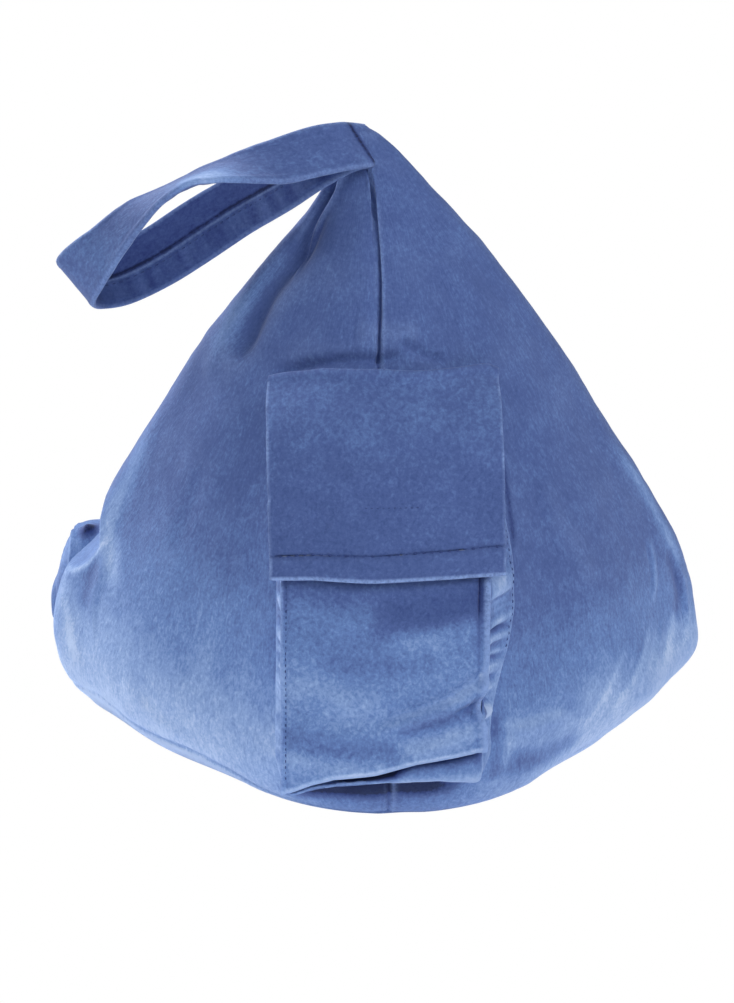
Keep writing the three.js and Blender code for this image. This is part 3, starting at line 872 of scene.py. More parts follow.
class PILLOW_OT_body(Operator):
    """Builds the filled pyramid: its cover's crown, seams, puckers, hollows and creases"""

    bl_idname = "pillow.body"
    bl_label = "Filled body"

    def execute(self, context):
        tree = surface_of(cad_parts["body"])
        rings = body_rings(tree)
        normals = grid_normals(rings, wrap=True)
        lift = body_lift(rings, normals, tree)
        height = rings[..., 2].copy()
        rings = rings + normals * lift[..., None]
        rings[..., 2] = np.maximum(rings[..., 2], 0)
        rings = draw_in_corner(rings)
        seam = np.abs(arc_from(rings, 0))
        down = np.cumsum(np.linalg.norm(np.diff(rings, axis=0, prepend=rings[:1]), axis=-1), axis=0)
        across = np.broadcast_to(rings[len(UNDERSIDE_SHARES) + NAP_RING], rings.shape)
        nap = points_of(arc_from(across, 0), down, 0)
        # Painted highlight on the crests of the cover's ridges and on the right lip of the back seam, with
        # some wear
        ridges = np.clip(lift - blur(blur(lift, 6, 0), 6, 1, wrap=True), 0, 1)
        wear_and_highlight = np.clip(0.35 * ridges + 0.3 * hump(seam - 2, 1.2) * (arc_from(rings, 0) > 0), 0, 1)
        wear_and_highlight = wear_and_highlight * ramp(height, 1, 6)
        nap_and_painted_light = self.nap_lay(rings, normals, tree, seam)
        points, faces = closed_skin(rings)
        wear_and_highlight = np.concatenate([wear_and_highlight.ravel(), [0, 0]])
        nap = np.concatenate([nap.reshape(-1, 3), nap[:1, 0], nap[-1:, 0]])
        nap_and_painted_light = np.concatenate([nap_and_painted_light.ravel(), [0, 0]])
        body = make_piece("body_cover", points, faces, cloth_material(), wear_and_highlight, nap, nap_and_painted_light)
        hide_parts("body")
        return {"FINISHED"}

    def nap_lay(self, rings, normals, tree, seam):
        """Painted light (above 0) and painted shade on the body: paler towards the foot, a painted shadow low
        under the pocket, light on the roll and shade in the groove of the foot seam, shade along the back
        seam, and the places of the back's table.
        """
        x, z = rings[..., 0], rings[..., 2]
        height, left, right = zip(*PAINTED_LIGHT_BY_HEIGHT)
        level = z + 6 * rough(rings, 34, 6) + 2.5 * rough(rings, 11, 7)
        nap_and_painted_light = mix(np.interp(level, height, left), np.interp(level, height, right), ramp(x, -70, 50))
        # Painted shadow of the pocket, low in the middle
        nap_and_painted_light -= 1.15 * hump(x - 10, 46) * ramp(32 - z, 0, 14)
        nap_and_painted_light += creases_lift(rings, normals, tree, BACK_PAINTED_LIGHT)
        # Painted light on the cloth that rolls out under the foot seam, and painted shade in its groove
        foot = z - np.interp(x, *zip(*FOOT_SEAM))
        shown = ramp(-x, 30, 45) * (rings[..., 1] < 20) * mix(0.3, 1.0, ramp(x, -125, -85))
        nap_and_painted_light += (0.4 * hump(foot + 2.4, 1.3) - 0.7 * hump(foot, 0.9)) * shown
        # Painted shade along the back seam's groove
        return nap_and_painted_light - 0.5 * hump(seam, 0.9) * mix(0.4, 1.0, ramp(z, 22, 40))


# The padded ledge


LEDGE_COLUMNS = 150
LEDGE_ROWS = 260
LEDGE_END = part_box("front_ledge")[1].x / MM
# How far from each end the gathering seam runs round the ledge
LEDGE_SEAM = 12.0
# The body covers the ledge up to this depth, from this place across
COVERED_DEPTH = 90
COVERED_FROM = -112
# Depth and height of the line that the roll goes round
LEDGE_AXIS = (98, 30)
# Where the gathers of the ledge's left end draw in to a hole beside the body, which painted shade darkens
LEDGE_HOLE = (-131, 86, 52)
# The lobe that stands up at that end: place across, half width and rise
LOBE_PLACE = -142
LOBE_WIDTH = 13
LOBE_RISE = 6.5


def ledge_rings(tree):
    """The ledge's skin as rings round its length, from its left end to its right."""
    rings = []
    for s in np.linspace(-1, 1, LEDGE_ROWS):
        x = (LEDGE_END - 0.3) * math.sin(s * math.pi / 2)
        inward = min(1, (LEDGE_END - abs(x)) / 30)
        start = Vector((x, LEDGE_AXIS[0] + inward, mix(14, LEDGE_AXIS[1], math.sqrt(inward)))) * MM
        ring = []
        for k in range(LEDGE_COLUMNS):
            angle = 2 * math.pi * k / LEDGE_COLUMNS
            ring.append(skin_point(tree, start, (0, math.cos(angle), math.sin(angle))))
        rings.append(ring)
    rings = np.array(rings)
    return blur(blur(rings, 2.0, 1, wrap=True), 3.0, 0)


class PILLOW_OT_ledge(Operator):
    """Builds the padded ledge: a filled roll, gathered at its ends"""

    bl_idname = "pillow.ledge"
    bl_label = "Padded ledge"

    def execute(self, context):
        tree = surface_of(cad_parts["front_ledge"])
        rings = ledge_rings(tree)
        normals = -grid_normals(rings, wrap=True)
        end = LEDGE_END - np.abs(rings[..., 0])
        turn = np.arctan2(rings[..., 2] - LEDGE_AXIS[1], rings[..., 1] - LEDGE_AXIS[0])
        lift = 0.7 * rough(rings, 45, 11) + 0.3 * rough(rings, 18, 12)
        round_end = points_of(6 * np.cos(turn), 6 * np.sin(turn), np.sign(rings[..., 0]) * 9)
        gathers = rough(round_end, 1.0, 13)
        lift += 0.9 * gathers * ramp(end, 1, 7) * ramp(34 - end, 0, 24) + 0.8 * ramp(50 - end, 0, 30)
        lift -= 0.8 * hump(end - LEDGE_SEAM, 1.2) + 0.6 * np.exp(-np.abs(end - LEDGE_SEAM) / 5)
        dimple = np.linalg.norm(rings - np.array(LEDGE_HOLE), axis=-1)
        lift += 1.6 * ramp(-rings[..., 0], 112, 130) - 4.0 * hump(dimple, 3.2)
        lift = lift * ramp(rings[..., 2], 0, 3) * ramp(end, 0, 2)
        covered = (rings[..., 1] < COVERED_DEPTH) & (rings[..., 0] > COVERED_FROM)
        lift = np.where(covered, np.minimum(lift, 0.3), lift)
        rings = rings + normals * lift[..., None]
        lobe = hump(rings[..., 0] - LOBE_PLACE, LOBE_WIDTH) * ramp(rings[..., 2], 24, 52)
        rings[..., 2] = np.maximum(rings[..., 2], 0) + LOBE_RISE * lobe
        around = np.cumsum(np.linalg.norm(rings - np.roll(rings, 1, 1), axis=-1), axis=1)
        nap = points_of(rings[..., 0], around, 0)
        points, faces = closed_skin(rings[:, ::-1])
        nap = np.concatenate([nap[:, ::-1].reshape(-1, 3), nap[:1, 0], nap[-1:, 0]])
        # Painted shade in the hole at the left end, painted light on the lobe's top and towards the left end,
        # and the whole ledge a little paler
        hole = np.linalg.norm(points - np.array(LEDGE_HOLE) - np.array([0, 0, 3]), axis=-1)
        nap_and_painted_light = 0.15 - 3.4 * hump(hole, 3.8) + 0.3 * hump(points[:, 2] - 46, 12)
        nap_and_painted_light += 0.2 * ramp(-points[:, 0], 118, 130)
        ledge = make_piece("ledge_cover", points, faces, cloth_material(), None, nap, nap_and_painted_light)
        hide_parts("front_ledge")
        return {"FINISHED"}


# The pocket


POCKET_ROWS = 130
POCKET_COLUMNS = 96
# How far in from the panel's sides its two seams run, and from the mouth its upper stitches
LEFT_GROOVE = 1.9
RIGHT_GROOVE = 3.1
MOUTH_STITCHES = 8
# Steps of the gusset's run down a side, round a corner and under the pocket, and across it
GUSSET_SIDE = 120
GUSSET_TURN = 16
GUSSET_UNDER = 90
GUSSET_ACROSS = 30
# Radii of the corners at which it is sewn down and at which it leaves the panel
GUSSET_CORNER = 9.0
LIP_CORNER = 4.0
# Share of the way across it at which its lip lies, and the width that its nap is laid over
LIP_SHARE = 0.69
GUSSET_RUN = 14
# Steps up its right side below which the stitches lie hidden
HIDDEN_STITCHES = 34
# How far from the edge of a sheet its slope is read
PROBE = 4.0
# How much closer together the nap's strokes lie down the pocket and the flap than across them
STROKES_CLOSER = 1.9
# The row and the column of a sheet's grid at which the places of its stitches are read
STITCH_GRID_ROW = 60
STITCH_GRID_COLUMN = 40

# How much higher the front panel's foot hangs than a straight line, by the share across
FOOT_RISE = (
    (0, 0.2), (0.05, 0.9), (0.15, 3.6), (0.26, 5.2), (0.46, 4.9), (0.54, 5.5), (0.66, 6.2), (0.8, 5.8),
    (0.94, 5.1), (1, 4.6),
)
# The lip that the gusset makes below the panel's foot: place across, height, and how far the
# slot above it stands open
LIP = (
    (-30, 19.6, 0.3), (-26.4, 20.9, 0.5), (-20, 23.9, 1.1), (-13.6, 25.9, 1.5), (2.9, 28, 1.9),
    (10, 28.1, 1.3), (14.5, 28, 0.4), (20, 27.9, 0.4), (26, 27.9, 1.0), (33, 26.6, 1.4), (38, 25.5, 1.3),
    (42, 25.2, 0.6),
)
# Soft folds of the front panel, as for the back
PANEL_FOLDS = (
    (2.0, 2.4, 0.9, ((0, 44), (14, 47.5), (25, 50.5), (33, 53.5), (41, 58), (52, 63))),
    (1.3, 2.8, 0.8, ((12, 37), (28, 40.5), (39, 44), (50, 47))),
    (-2.8, 1.6, 0, ((28, 49.5), (36, 52), (42, 54), (52, 57))),
    (-2.0, 1.2, 0, ((34, 47), (40, 50), (44, 52), (52, 55))),
    (0.6, 3.5, 0.7, ((-20, 84), (-6, 80), (10, 82), (24, 88))),
    (-1.3, 6.0, 0, ((8, 86), (20, 82), (32, 84))),
    (0.7, 4.0, 0.6, ((-24, 46), (-12, 42), (2, 43))),
    (-0.7, 5.0, 0, ((-22, 66), (-8, 61), (8, 63), (22, 60))),
    (0.6, 5.0, 0, ((-24, 32), (-8, 34), (10, 36))),
)


# Where painted shade marks the gusset's pinch at the right of the panel
PINCH_PLACE = (42, -107, 50)
# Painted highlights (above 0) and painted shade along the front panel's folds and under the flap, as for the
# back
PANEL_PAINTED_LIGHT = (
    (-0.7, 7.0, ((0, 86), (14, 83), (26, 83), (38, 86), (50, 88))),
    (0.3, 6.0, ((-30, 84), (-18, 82), (-6, 81), (4, 79))),
    (0.45, 4.0, ((4, 73), (16, 74), (28, 77), (40, 79), (50, 80))),
    (0.5, 2.6, ((6, 48), (16, 51), (28, 54.5), (38, 59), (50, 64))),
    (-0.6, 2.8, ((8, 45), (18, 47), (28, 49), (38, 51), (50, 54))),
    (-1.3, 1.5, ((32, 50), (37, 52), (41, 54), (50, 57))),
    (0.4, 3.5, ((8, 38), (20, 40), (32, 42), (46, 45))),
    (-0.45, 4.5, ((-34, 42), (-22, 40), (-10, 38), (4, 38), (16, 39))),
    (0.35, 3.5, ((-34, 32), (-20, 33), (-6, 33), (8, 35))),
    (0.25, 5.0, ((-32, 60), (-18, 57), (-4, 54), (8, 53))),
    (-0.3, 5.0, ((-20, 68), (-6, 66), (10, 66), (26, 66))),
)


def held_depths(tree, x, z, foot, top, margin):
    """Depths of a CAD sheet's front at places across and up. They are read a margin inside the
    sheet's edges and go on at its slope beyond them."""
    inside_x = x - np.sign(x - (x.min() + x.max()) / 2) * margin
    inside_z = np.clip(z, foot + margin, top - margin)
    step = np.where(z < (foot + top) / 2, PROBE, -PROBE)
    depth = depths_at(tree, inside_x, inside_z)
    further = depths_at(tree, inside_x, inside_z + step)
    depth = depth + (z - inside_z) * (further - depth) / step
    return blur(blur(depth, 3, 0), 3, 1)


def make_front_panel(size):
    """The pocket's front panel, with its folds, its paler edges (partly wear, partly painted highlight), its
    painted light and shade, and its rows of stitches.
    """
    tree = surface_of(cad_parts["pocket_front"])
    v, u = share_grid(POCKET_ROWS, POCKET_COLUMNS)
    x = mix(-size["left"], size["right"] - size["taper"] * v, u)
    straight = mix(size["foot_left"], size["foot_right"], u)
    foot = straight + np.interp(u, *zip(*FOOT_RISE))
    z = mix(size["mouth"], foot, v)
    x = x - 2.3 * hump(z - 51, 5.5) * ramp(u, 0.8, 1)
    y = held_depths(tree, x, z, straight, size["mouth"], margin=1.5) + size["cloth"] / 2
    middle = points_of(x, y, z)
    normals = -grid_normals(middle)
    from_left = x - x[:, :1]
    from_right = x[:, -1:] - x
    above_foot = z - z[-1:]
    lift = 0.5 * rough(middle, 26, 21) + 0.2 * rough(middle, 9, 22)
    lift += creases_lift(middle, normals, tree, PANEL_FOLDS)
    lift += 0.25 * ramp(1.3 - from_left, 0, 0.8) - 0.45 * hump(from_left - LEFT_GROOVE, 0.6)
    shaded = mix(0.35, 1.0, ramp(z, 74, 86))
    groove = hump(from_right - RIGHT_GROOVE, 1.0) * shaded
    lift += 0.6 * ramp(1.7 - from_right, 0, 0.9) - 1.7 * groove
    lift += 1.0 * ramp(6 - above_foot, 0, 6)
    middle = middle + normals * lift[..., None]
    edge = np.minimum(from_left, above_foot)
    half = size["cloth"] / 2 * mix(0.6, 1.0, ramp(edge, 0, 2.5))
    # Paler foot, sides and fold crests: partly wear and partly painted highlight
    wear_and_highlight = 0.9 * ramp(1.0 - above_foot, 0, 0.9) + 0.6 * ramp(0.7 - from_left, 0, 0.7)
    wear_and_highlight += 0.85 * ramp(1.5 - from_right, 0, 0.9) + 0.2 * np.clip(lift - 0.6, 0, 1)
    # Painted light, paler towards the foot and on the foot's lip, and painted shade in the groove by the
    # right seam, along the folds and a little low on the panel
    nap_and_painted_light = 0.8 * ramp(92 - z + 5 * rough(middle, 22, 23), 0, 34) - 0.8 * groove
    nap_and_painted_light += creases_lift(middle, normals, tree, PANEL_PAINTED_LIGHT)
    nap_and_painted_light += 0.9 * ramp(1.7 - above_foot, 0, 1.2) - 0.15 * ramp(76 - z, 0, 24)
    nap = points_of(x, STROKES_CLOSER * z, 0)
    panel = make_sheet("pocket_panel", sheet_skin(middle, half, half), wear_and_highlight, nap, nap_and_painted_light)
    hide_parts("pocket_front")
    front = middle + normals * half[..., None]
    column = int(np.argmin(np.abs(from_left[STITCH_GRID_ROW] - LEFT_GROOVE)))
    rows = [stitch_row(front[4:-4, column], normals[4:-4, column], pitch=2.1, share=0.6, radius=0.19)]
    row = int(np.argmin(np.abs(size["mouth"] - z[:, STITCH_GRID_COLUMN] - MOUTH_STITCHES)))
    rows.append(stitch_row(front[row, 3:-3], normals[row, 3:-3]))
    stitches = make_stitches("pocket_stitches", rows)


def pocket_outline(left, right, foot_left, foot_right, mouth, corner):
    """Places across and up, down the pocket's left side, under it and up its right side."""
    slope = (foot_right - foot_left) / (right - left)
    t = np.arange(1, GUSSET_TURN + 1) / (GUSSET_TURN + 1)
    down = np.linspace(mouth, foot_left + corner, GUSSET_SIDE)
    up = np.linspace(foot_right + corner, mouth, GUSSET_SIDE)
    under = np.linspace(left + corner, right - corner, GUSSET_UNDER)
    turn_x = corner * t * t
    left_z = foot_left + corner * (1 - t) ** 2 + slope * turn_x
    right_z = foot_right + corner * (1 - t) ** 2 - slope * turn_x
    x = [0 * down + left, left + turn_x, under, right - turn_x[::-1], 0 * up + right]
    z = [down, left_z, foot_left + slope * (under - left), right_z[::-1], up]
    return np.concatenate(x), np.concatenate(z)


def gusset_sections(front, lip, back, slot, wrinkles, under):
    """Control points of the gusset's sections, from the front panel's edge to the body."""
    way = unit(points_of(np.gradient(back[:, 0]), 0, np.gradient(back[:, 2])))
    out = points_of(way[:, 2], 0, -way[:, 0])
    behind = np.array([0, 1.0, 0])
    down = np.array([0, 0, -1.0])
    gap = slot[:, None] + 2.1
    folded = [
        front + 0.8 * behind - 2.0 * down,
        front + 3.0 * behind - 1.0 * down,
        front + 6.5 * behind + 0.3 * gap * down,
        front + 6.0 * behind + 1.0 * gap * down,
        front + 2.5 * behind + 1.1 * gap * down,
        mix(front + gap * down, lip, 0.5) + 0.3 * behind,
        lip - 0.4 * behind,
        lip + 2.0 * behind + 0.5 * down,
        mix(lip, back, 0.6) + 0.3 * down,
        back,
    ]
    plain = []
    for k in range(len(folded)):
        t = k / (len(folded) - 1)
        bulge = math.sin(math.pi * t)
        bend = 2.3 * wrinkles[:, None] * bulge - 1.9 * bulge ** 1.4
        plain.append(mix(front, back, t) + out * bend - 1.8 * bulge * wrinkles[:, None] * behind)
    return mix(np.array(plain), np.array(folded), under[None, :, None])


def make_gusset(size):
    """The strip down the pocket's sides and under it, with its inward fold and its wrinkles."""
    panel = surface_of(bpy.data.objects["pocket_panel"])
    body = surface_of(bpy.data.objects["body_cover"])
    half = size["gusset_cloth"] / 2
    inset = 0.8
    fx, fz = pocket_outline(
        -size["left"] + inset, size["right"] - size["taper"] - inset, size["foot_left"] + inset,
        size["foot_right"] + inset, size["mouth"], LIP_CORNER,
    )
    rise = np.interp((fx + size["left"]) / (size["right"] + size["left"] - size["taper"]), *zip(*FOOT_RISE))
    fz = fz + rise * ramp(45 - fz, 0, 10)
    bx, bz = pocket_outline(
        -size["gusset_left"], size["gusset_right"], size["gusset_foot_left"],
        size["gusset_foot_right"], size["mouth"], GUSSET_CORNER,
    )
    drawn = size["gusset_tuck"] * ramp(78 - bz, 0, 42) + 6.5 * ramp(bz, 84, 128)
    bx = bx - drawn * (bx > 0)
    run = np.arange(len(fx))
    turn = GUSSET_SIDE + GUSSET_TURN / 2
    under = ramp(run, turn - 12, turn + 6) * ramp(len(fx) - 1 - run, turn - 24, turn + 2)
    lip_x, lip_z, slot = (np.array(c) for c in zip(*LIP))
    bz = mix(bz, np.maximum(bz, np.interp(bx, lip_x, lip_z) - 2.2), under)
    front_depths = np.array([depth_at(panel, x, z, from_behind=True) for x, z in zip(fx, fz)])
    front = points_of(fx, blur(front_depths, 4, 0) + half, fz)
    back = points_of(bx, blur(depths_at(body, bx, bz), 2, 0) - half - 0.25, bz)
    drop = blur((fz - np.interp(fx, lip_x, lip_z)) * under, 3, 0)
    slot = blur(np.interp(fx, lip_x, slot), 2, 0)
    lip = front.copy()
    lip[:, 1] += 0.06 * drop + 0.3
    lip[:, 2] -= drop + 0.8
    reach = reach_along(front)
    wrinkles = 2.6 * rough(points_of(0, 0, reach), 4.2, 31)
    wrinkles = np.clip(wrinkles, -1, 1.2) * mix(1.0, 0.6, ramp(front[:, 2], 84, 100))
    sections = gusset_sections(front, lip, back, slot, wrinkles, under)
    middle = np.stack([smooth_rows(sections[:, k], GUSSET_ACROSS) for k in range(len(fx))], 1)
    middle = blur(middle, 1.2, 1)
    lift = 0.25 * rough(middle, 7, 33) * ramp(np.arange(GUSSET_ACROSS), 4, 12)[:, None]
    middle = middle - grid_normals(middle) * lift[..., None]
    t = np.broadcast_to(np.linspace(0, 1, GUSSET_ACROSS)[:, None], (GUSSET_ACROSS, len(fx)))
    # Paler lip line, wrinkle crests and sewn edge: partly wear and partly painted highlight
    crest = 0.3 * ramp(wrinkles, 0.3, 1.0)[None] * hump(t - 0.5, 0.25) * (1 - under)
    wear_and_highlight = 0.95 * hump(t - LIP_SHARE, 0.05) * under + crest + 0.3 * hump(t - 1, 0.06)
    # Painted light, paler towards the foot, on the lip and on wrinkle crests, and painted shade deep in the
    # slot under the panel, in the wrinkles' troughs, beside the panel's edge and round the pinch
    deep = mix(0.3, 0.44, ramp(16 - fx, 0, 8))
    nap_and_painted_light = 0.7 * ramp(80 - middle[..., 2], 0, 30) - 3.2 * hump(t - deep, 0.15) * under
    nap_and_painted_light += (0.25 + 1.0 * wrinkles[None] * hump(t - 0.5, 0.35) - 1.0 * hump(t - 0.14, 0.07)) * (1 - under)
    nap_and_painted_light -= 1.1 * hump(np.linalg.norm(middle - np.array(PINCH_PLACE), axis=-1), 3.0)
    nap_and_painted_light += 0.8 * hump(t - LIP_SHARE, 0.06) * under
    nap = points_of(t * GUSSET_RUN, reach, 0)
    gusset = make_sheet("pocket_side", sheet_skin(middle, half, half), wear_and_highlight, nap, nap_and_painted_light)
    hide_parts("pocket_gusset")
    normals = -grid_normals(middle)
    seam = GUSSET_ACROSS - 3
    seen = slice(len(fx) - GUSSET_SIDE + HIDDEN_STITCHES, -4)
    front = (middle + normals * half)[seam, seen]
    rows = [stitch_row(front, normals[seam, seen], pitch=2.4, share=0.6, radius=0.2)]
    stitches = make_stitches("pocket_side_stitches", rows)


class PILLOW_OT_pocket(Operator):
    """Builds the bellows pocket: its front panel, and the gusset down its sides and under it"""

    bl_idname = "pillow.pocket"
    bl_label = "Bellows pocket"

    def execute(self, context):
        size = settings_mm(context.scene.pillow_pocket)
        make_front_panel(size)
        make_gusset(size)
        return {"FINISHED"}


# The flap


FLAP_ROWS = 110
FLAP_COLUMNS = 100
FLAP_ROLL_ROWS = 14

# How far the foot hangs below a straight line from corner to corner, by the share across
FLAP_SAG = (
    (0, -0.6), (0.08, -1.0), (0.18, -1.4), (0.3, -0.9), (0.44, -0.2), (0.65, -0.2), (0.83, 0.4), (0.93, 0.9),
    (1, 1.4),
)
# How far the top fold lies below its highest place
FLAP_TOP_FALL = (
    (0, 4.4), (0.08, 2.7), (0.15, 1.9), (0.24, 0.4), (0.36, 0), (0.5, 0), (0.65, 0.7), (0.96, 0.5),
    (1, 2.4),
)
# The short row of stitches on the flap: its height and how far it runs across
SHORT_ROW_HEIGHT = 119.0
SHORT_ROW_REACH = (-3, 20)
# Soft folds of the flap, as for the back
FLAP_FOLDS = (
    (-0.8, 1.8, 0, ((-20, 115.5), (-16, 114.5), (-12, 113.2))),
    (0.5, 4.0, 0.6, ((-32, 132), (-10, 130), (14, 131), (38, 129))),
    (0.6, 7.0, 0, ((-30, 150), (-14, 147), (2, 149))),
    (-0.8, 7.0, 0, ((30, 125), (38, 112), (42, 102))),
    (0.7, 5.0, 0, ((44, 140), (45, 128), (46, 116))),
)


def flap_grid(size, tree, body):
    """The flap before its folds: points of its rolled top fold and of its hanging part, and for
    the hanging part alone the share across and the height of its top."""
    v, u = share_grid(FLAP_ROWS, FLAP_COLUMNS)
    fall = blur(np.interp(u, *zip(*FLAP_TOP_FALL)), 2, 1)
    top = size["top"] + 1.0 - fall - size["roll"]
    straight = mix(size["foot_left"], size["foot_right"], u)
    z = mix(top, straight - np.interp(u, *zip(*FLAP_SAG)), v)
    x = mix(-size["left"], size["right"] - size["taper"] * v, u) + size["lean"] * v
    ragged = 0.35 * rough(points_of(0, 7, z), 5, 41)
    x = x + ragged * (ramp(u, 0.9, 1) - ramp(1 - u, 0.9, 1))
    y = held_depths(tree, x, z, straight, size["top"] - 6, margin=1.6) + size["cloth"] / 2
    on_body = depths_at(body, x[0], z[0]) - 2 * size["roll"] - size["cloth"] / 2 - 0.3
    y = np.minimum(y, mix(blur(on_body, 3, 0)[None, :], y, ramp(top - z, 0, 16)))
    roll = []
    for k in range(FLAP_ROLL_ROWS):
        angle = mix(-0.75 * math.pi, math.pi / 2, k / FLAP_ROLL_ROWS)
        behind = size["roll"] * (1 - math.sin(angle))
        roll.append(points_of(x[0], y[0] + behind, z[0] + size["roll"] * math.cos(angle)))
    return np.concatenate([np.array(roll), points_of(x, y, z)]), u, top


class PILLOW_OT_flap(Operator):
    """Builds the pocket's flap: its rolled top fold, its rims and its stitched hem"""

    bl_idname = "pillow.flap"
    bl_label = "Pocket flap"

    def execute(self, context):
        size = settings_mm(context.scene.pillow_flap)
        tree = surface_of(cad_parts["pocket_flap"])
        body = surface_of(bpy.data.objects["body_cover"])
        middle, u, top = flap_grid(size, tree, body)
        middle = blur(middle, 1.2, 0)
        normals = -grid_normals(middle)
        plain = np.zeros(middle.shape[:2])
        plain[FLAP_ROLL_ROWS:] = 1
        across = np.concatenate([np.repeat(u[:1], FLAP_ROLL_ROWS, 0), u])
        above_foot = middle[..., 2] - middle[-1:, :, 2]
        side = np.minimum(across, 1 - across) * (size["left"] + size["right"])
        lift = 0.5 * rough(middle, 30, 42) + 0.2 * rough(middle, 10, 43)
        hem = mix(size["hem_left"], size["hem_right"], across)
        lift += 0.35 * ramp(hem - above_foot, 0, 1.2) - 0.8 * hump(above_foot - hem, 0.9)
        puckers = rough(points_of(middle[..., 0], 0, 0), 4.5, 44)
        lift += 0.5 * puckers * hump(above_foot - hem, 3.5)
        lift += 0.35 * ramp(1.8 - above_foot, 0, 1.0)
        lift += creases_lift(middle, normals, tree, FLAP_FOLDS)
        lift *= plain * ramp(top[0].max() - middle[..., 2], 0, 5)
        middle = middle + normals * lift[..., None]
        half = size["cloth"] / 2 * mix(0.6, 0.8, ramp(side, 0, 3.0))
        half = half * mix(1.0, 0.62, ramp(2.5 - above_foot, 0, 2.5))
        # Paler foot and ragged sides: partly wear and partly painted highlight
        ragged_light = 0.25 + 0.5 * ramp(rough(middle, 7, 45), -0.2, 0.5)
        wear_and_highlight = 0.95 * ramp(0.9 - above_foot, 0, 0.7) + ragged_light * ramp(0.8 - side, 0, 0.8)
        wear_and_highlight = np.clip(wear_and_highlight, 0, 1) * plain
        nap = points_of(middle[..., 0], STROKES_CLOSER * middle[..., 2], 0)
        # Painted shade, a little darker low on the flap and along the hem's stitch line
        nap_and_painted_light = 0.1 - 0.22 * plain * ramp(145 - middle[..., 2], 0, 25) - 0.35 * hump(above_foot - hem, 0.8)
        flap = make_sheet("flap", sheet_skin(middle, half, half), wear_and_highlight, nap, nap_and_painted_light)
        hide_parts("pocket_flap")
        front = middle + normals * half[..., None]
        row_at = np.argmin(np.abs(above_foot - hem), axis=0)
        columns = np.arange(2, FLAP_COLUMNS - 2)
        hem_row = blur(front[row_at[columns], columns], 1.5, 0)
        hem_normals = normals[row_at[columns], columns]
        rows = [stitch_row(hem_row, hem_normals, pitch=3.0, share=0.6, radius=0.4)]
        low, high = SHORT_ROW_REACH
        short = [c for c in columns if low < middle[STITCH_GRID_ROW, c, 0] < high]
        level = [int(np.argmin(np.abs(middle[:, c, 2] - SHORT_ROW_HEIGHT))) for c in short]
        short_row = blur(front[level, short], 2, 0)
        rows.append(stitch_row(short_row, normals[level, short], pitch=2.0, share=0.5, radius=0.14))
        stitches = make_stitches("flap_stitches", rows)
        return {"FINISHED"}


# The carry loop


LOOP_ROWS = 300
LOOP_COLUMNS = 27
LOOP_WIDTH = 21
# How far below the band's middle its stitches run
LOOP_STITCHES_BELOW = 2.2

# One row for each place along the band, from the seam out to the left, round the end fold and
# back: the middle of the band, and the way from its upper edge to its lower edge
LOOP_BAND = (
    (2.0, -33.5, 239.8, 6.5, -3, -13.5),
    (-2.5, -39.5, 240.3, 7, -4, -14),
    (-8, -44.6, 240.2, 6.8, -5.5, -14.5),
    (-18, -49.5, 238.8, 6, -9, -14.5),
    (-31.5, -55.5, 235.4, 5, -13, -13),
    (-44.5, -62, 233.6, 5, -18, -7.4),
    (-55, -66, 231.8, 5, -20, -2.6),
    (-66, -66.5, 227.9, 7, -20, 1.4),
    (-80.5, -61, 219.4, 11, -18, -1.5),
    (-94.5, -51, 206.2, 13, -15, -6.5),
    (-104.5, -41, 196, 14.5, -11, -11.5),
    (-109.5, -32, 189.2, 13.5, -6, -14.5),
    (-107, -23, 187.6, 11.5, -2, -17.5),
    (-97, -14.5, 188.9, 10, -2, -19),
    (-82, -8.5, 195.6, 10, -2, -19.5),
    (-66, -8, 205.6, 10.5, -4, -19.5),
    (-50.5, -12, 215.3, 10.5, -6, -18),
    (-35, -25, 224.5, 10, -7, -17),
    (-20.5, -36.5, 233, 8, -7, -15.5),
    (-8, -38.5, 238.8, 7, -5, -14),
    (0.5, -35.5, 239.6, 6, -3.5, -13.5),
)


# Places along the band, from its first row: where it lies edge-on and carries a painted highlight, where it
# folds back, with a weaker painted highlight, and where a join crosses its inner face, marked by painted
# shade
GLEAM_PLACE = 71
END_PLACE = 128
JOIN_PLACE = 221


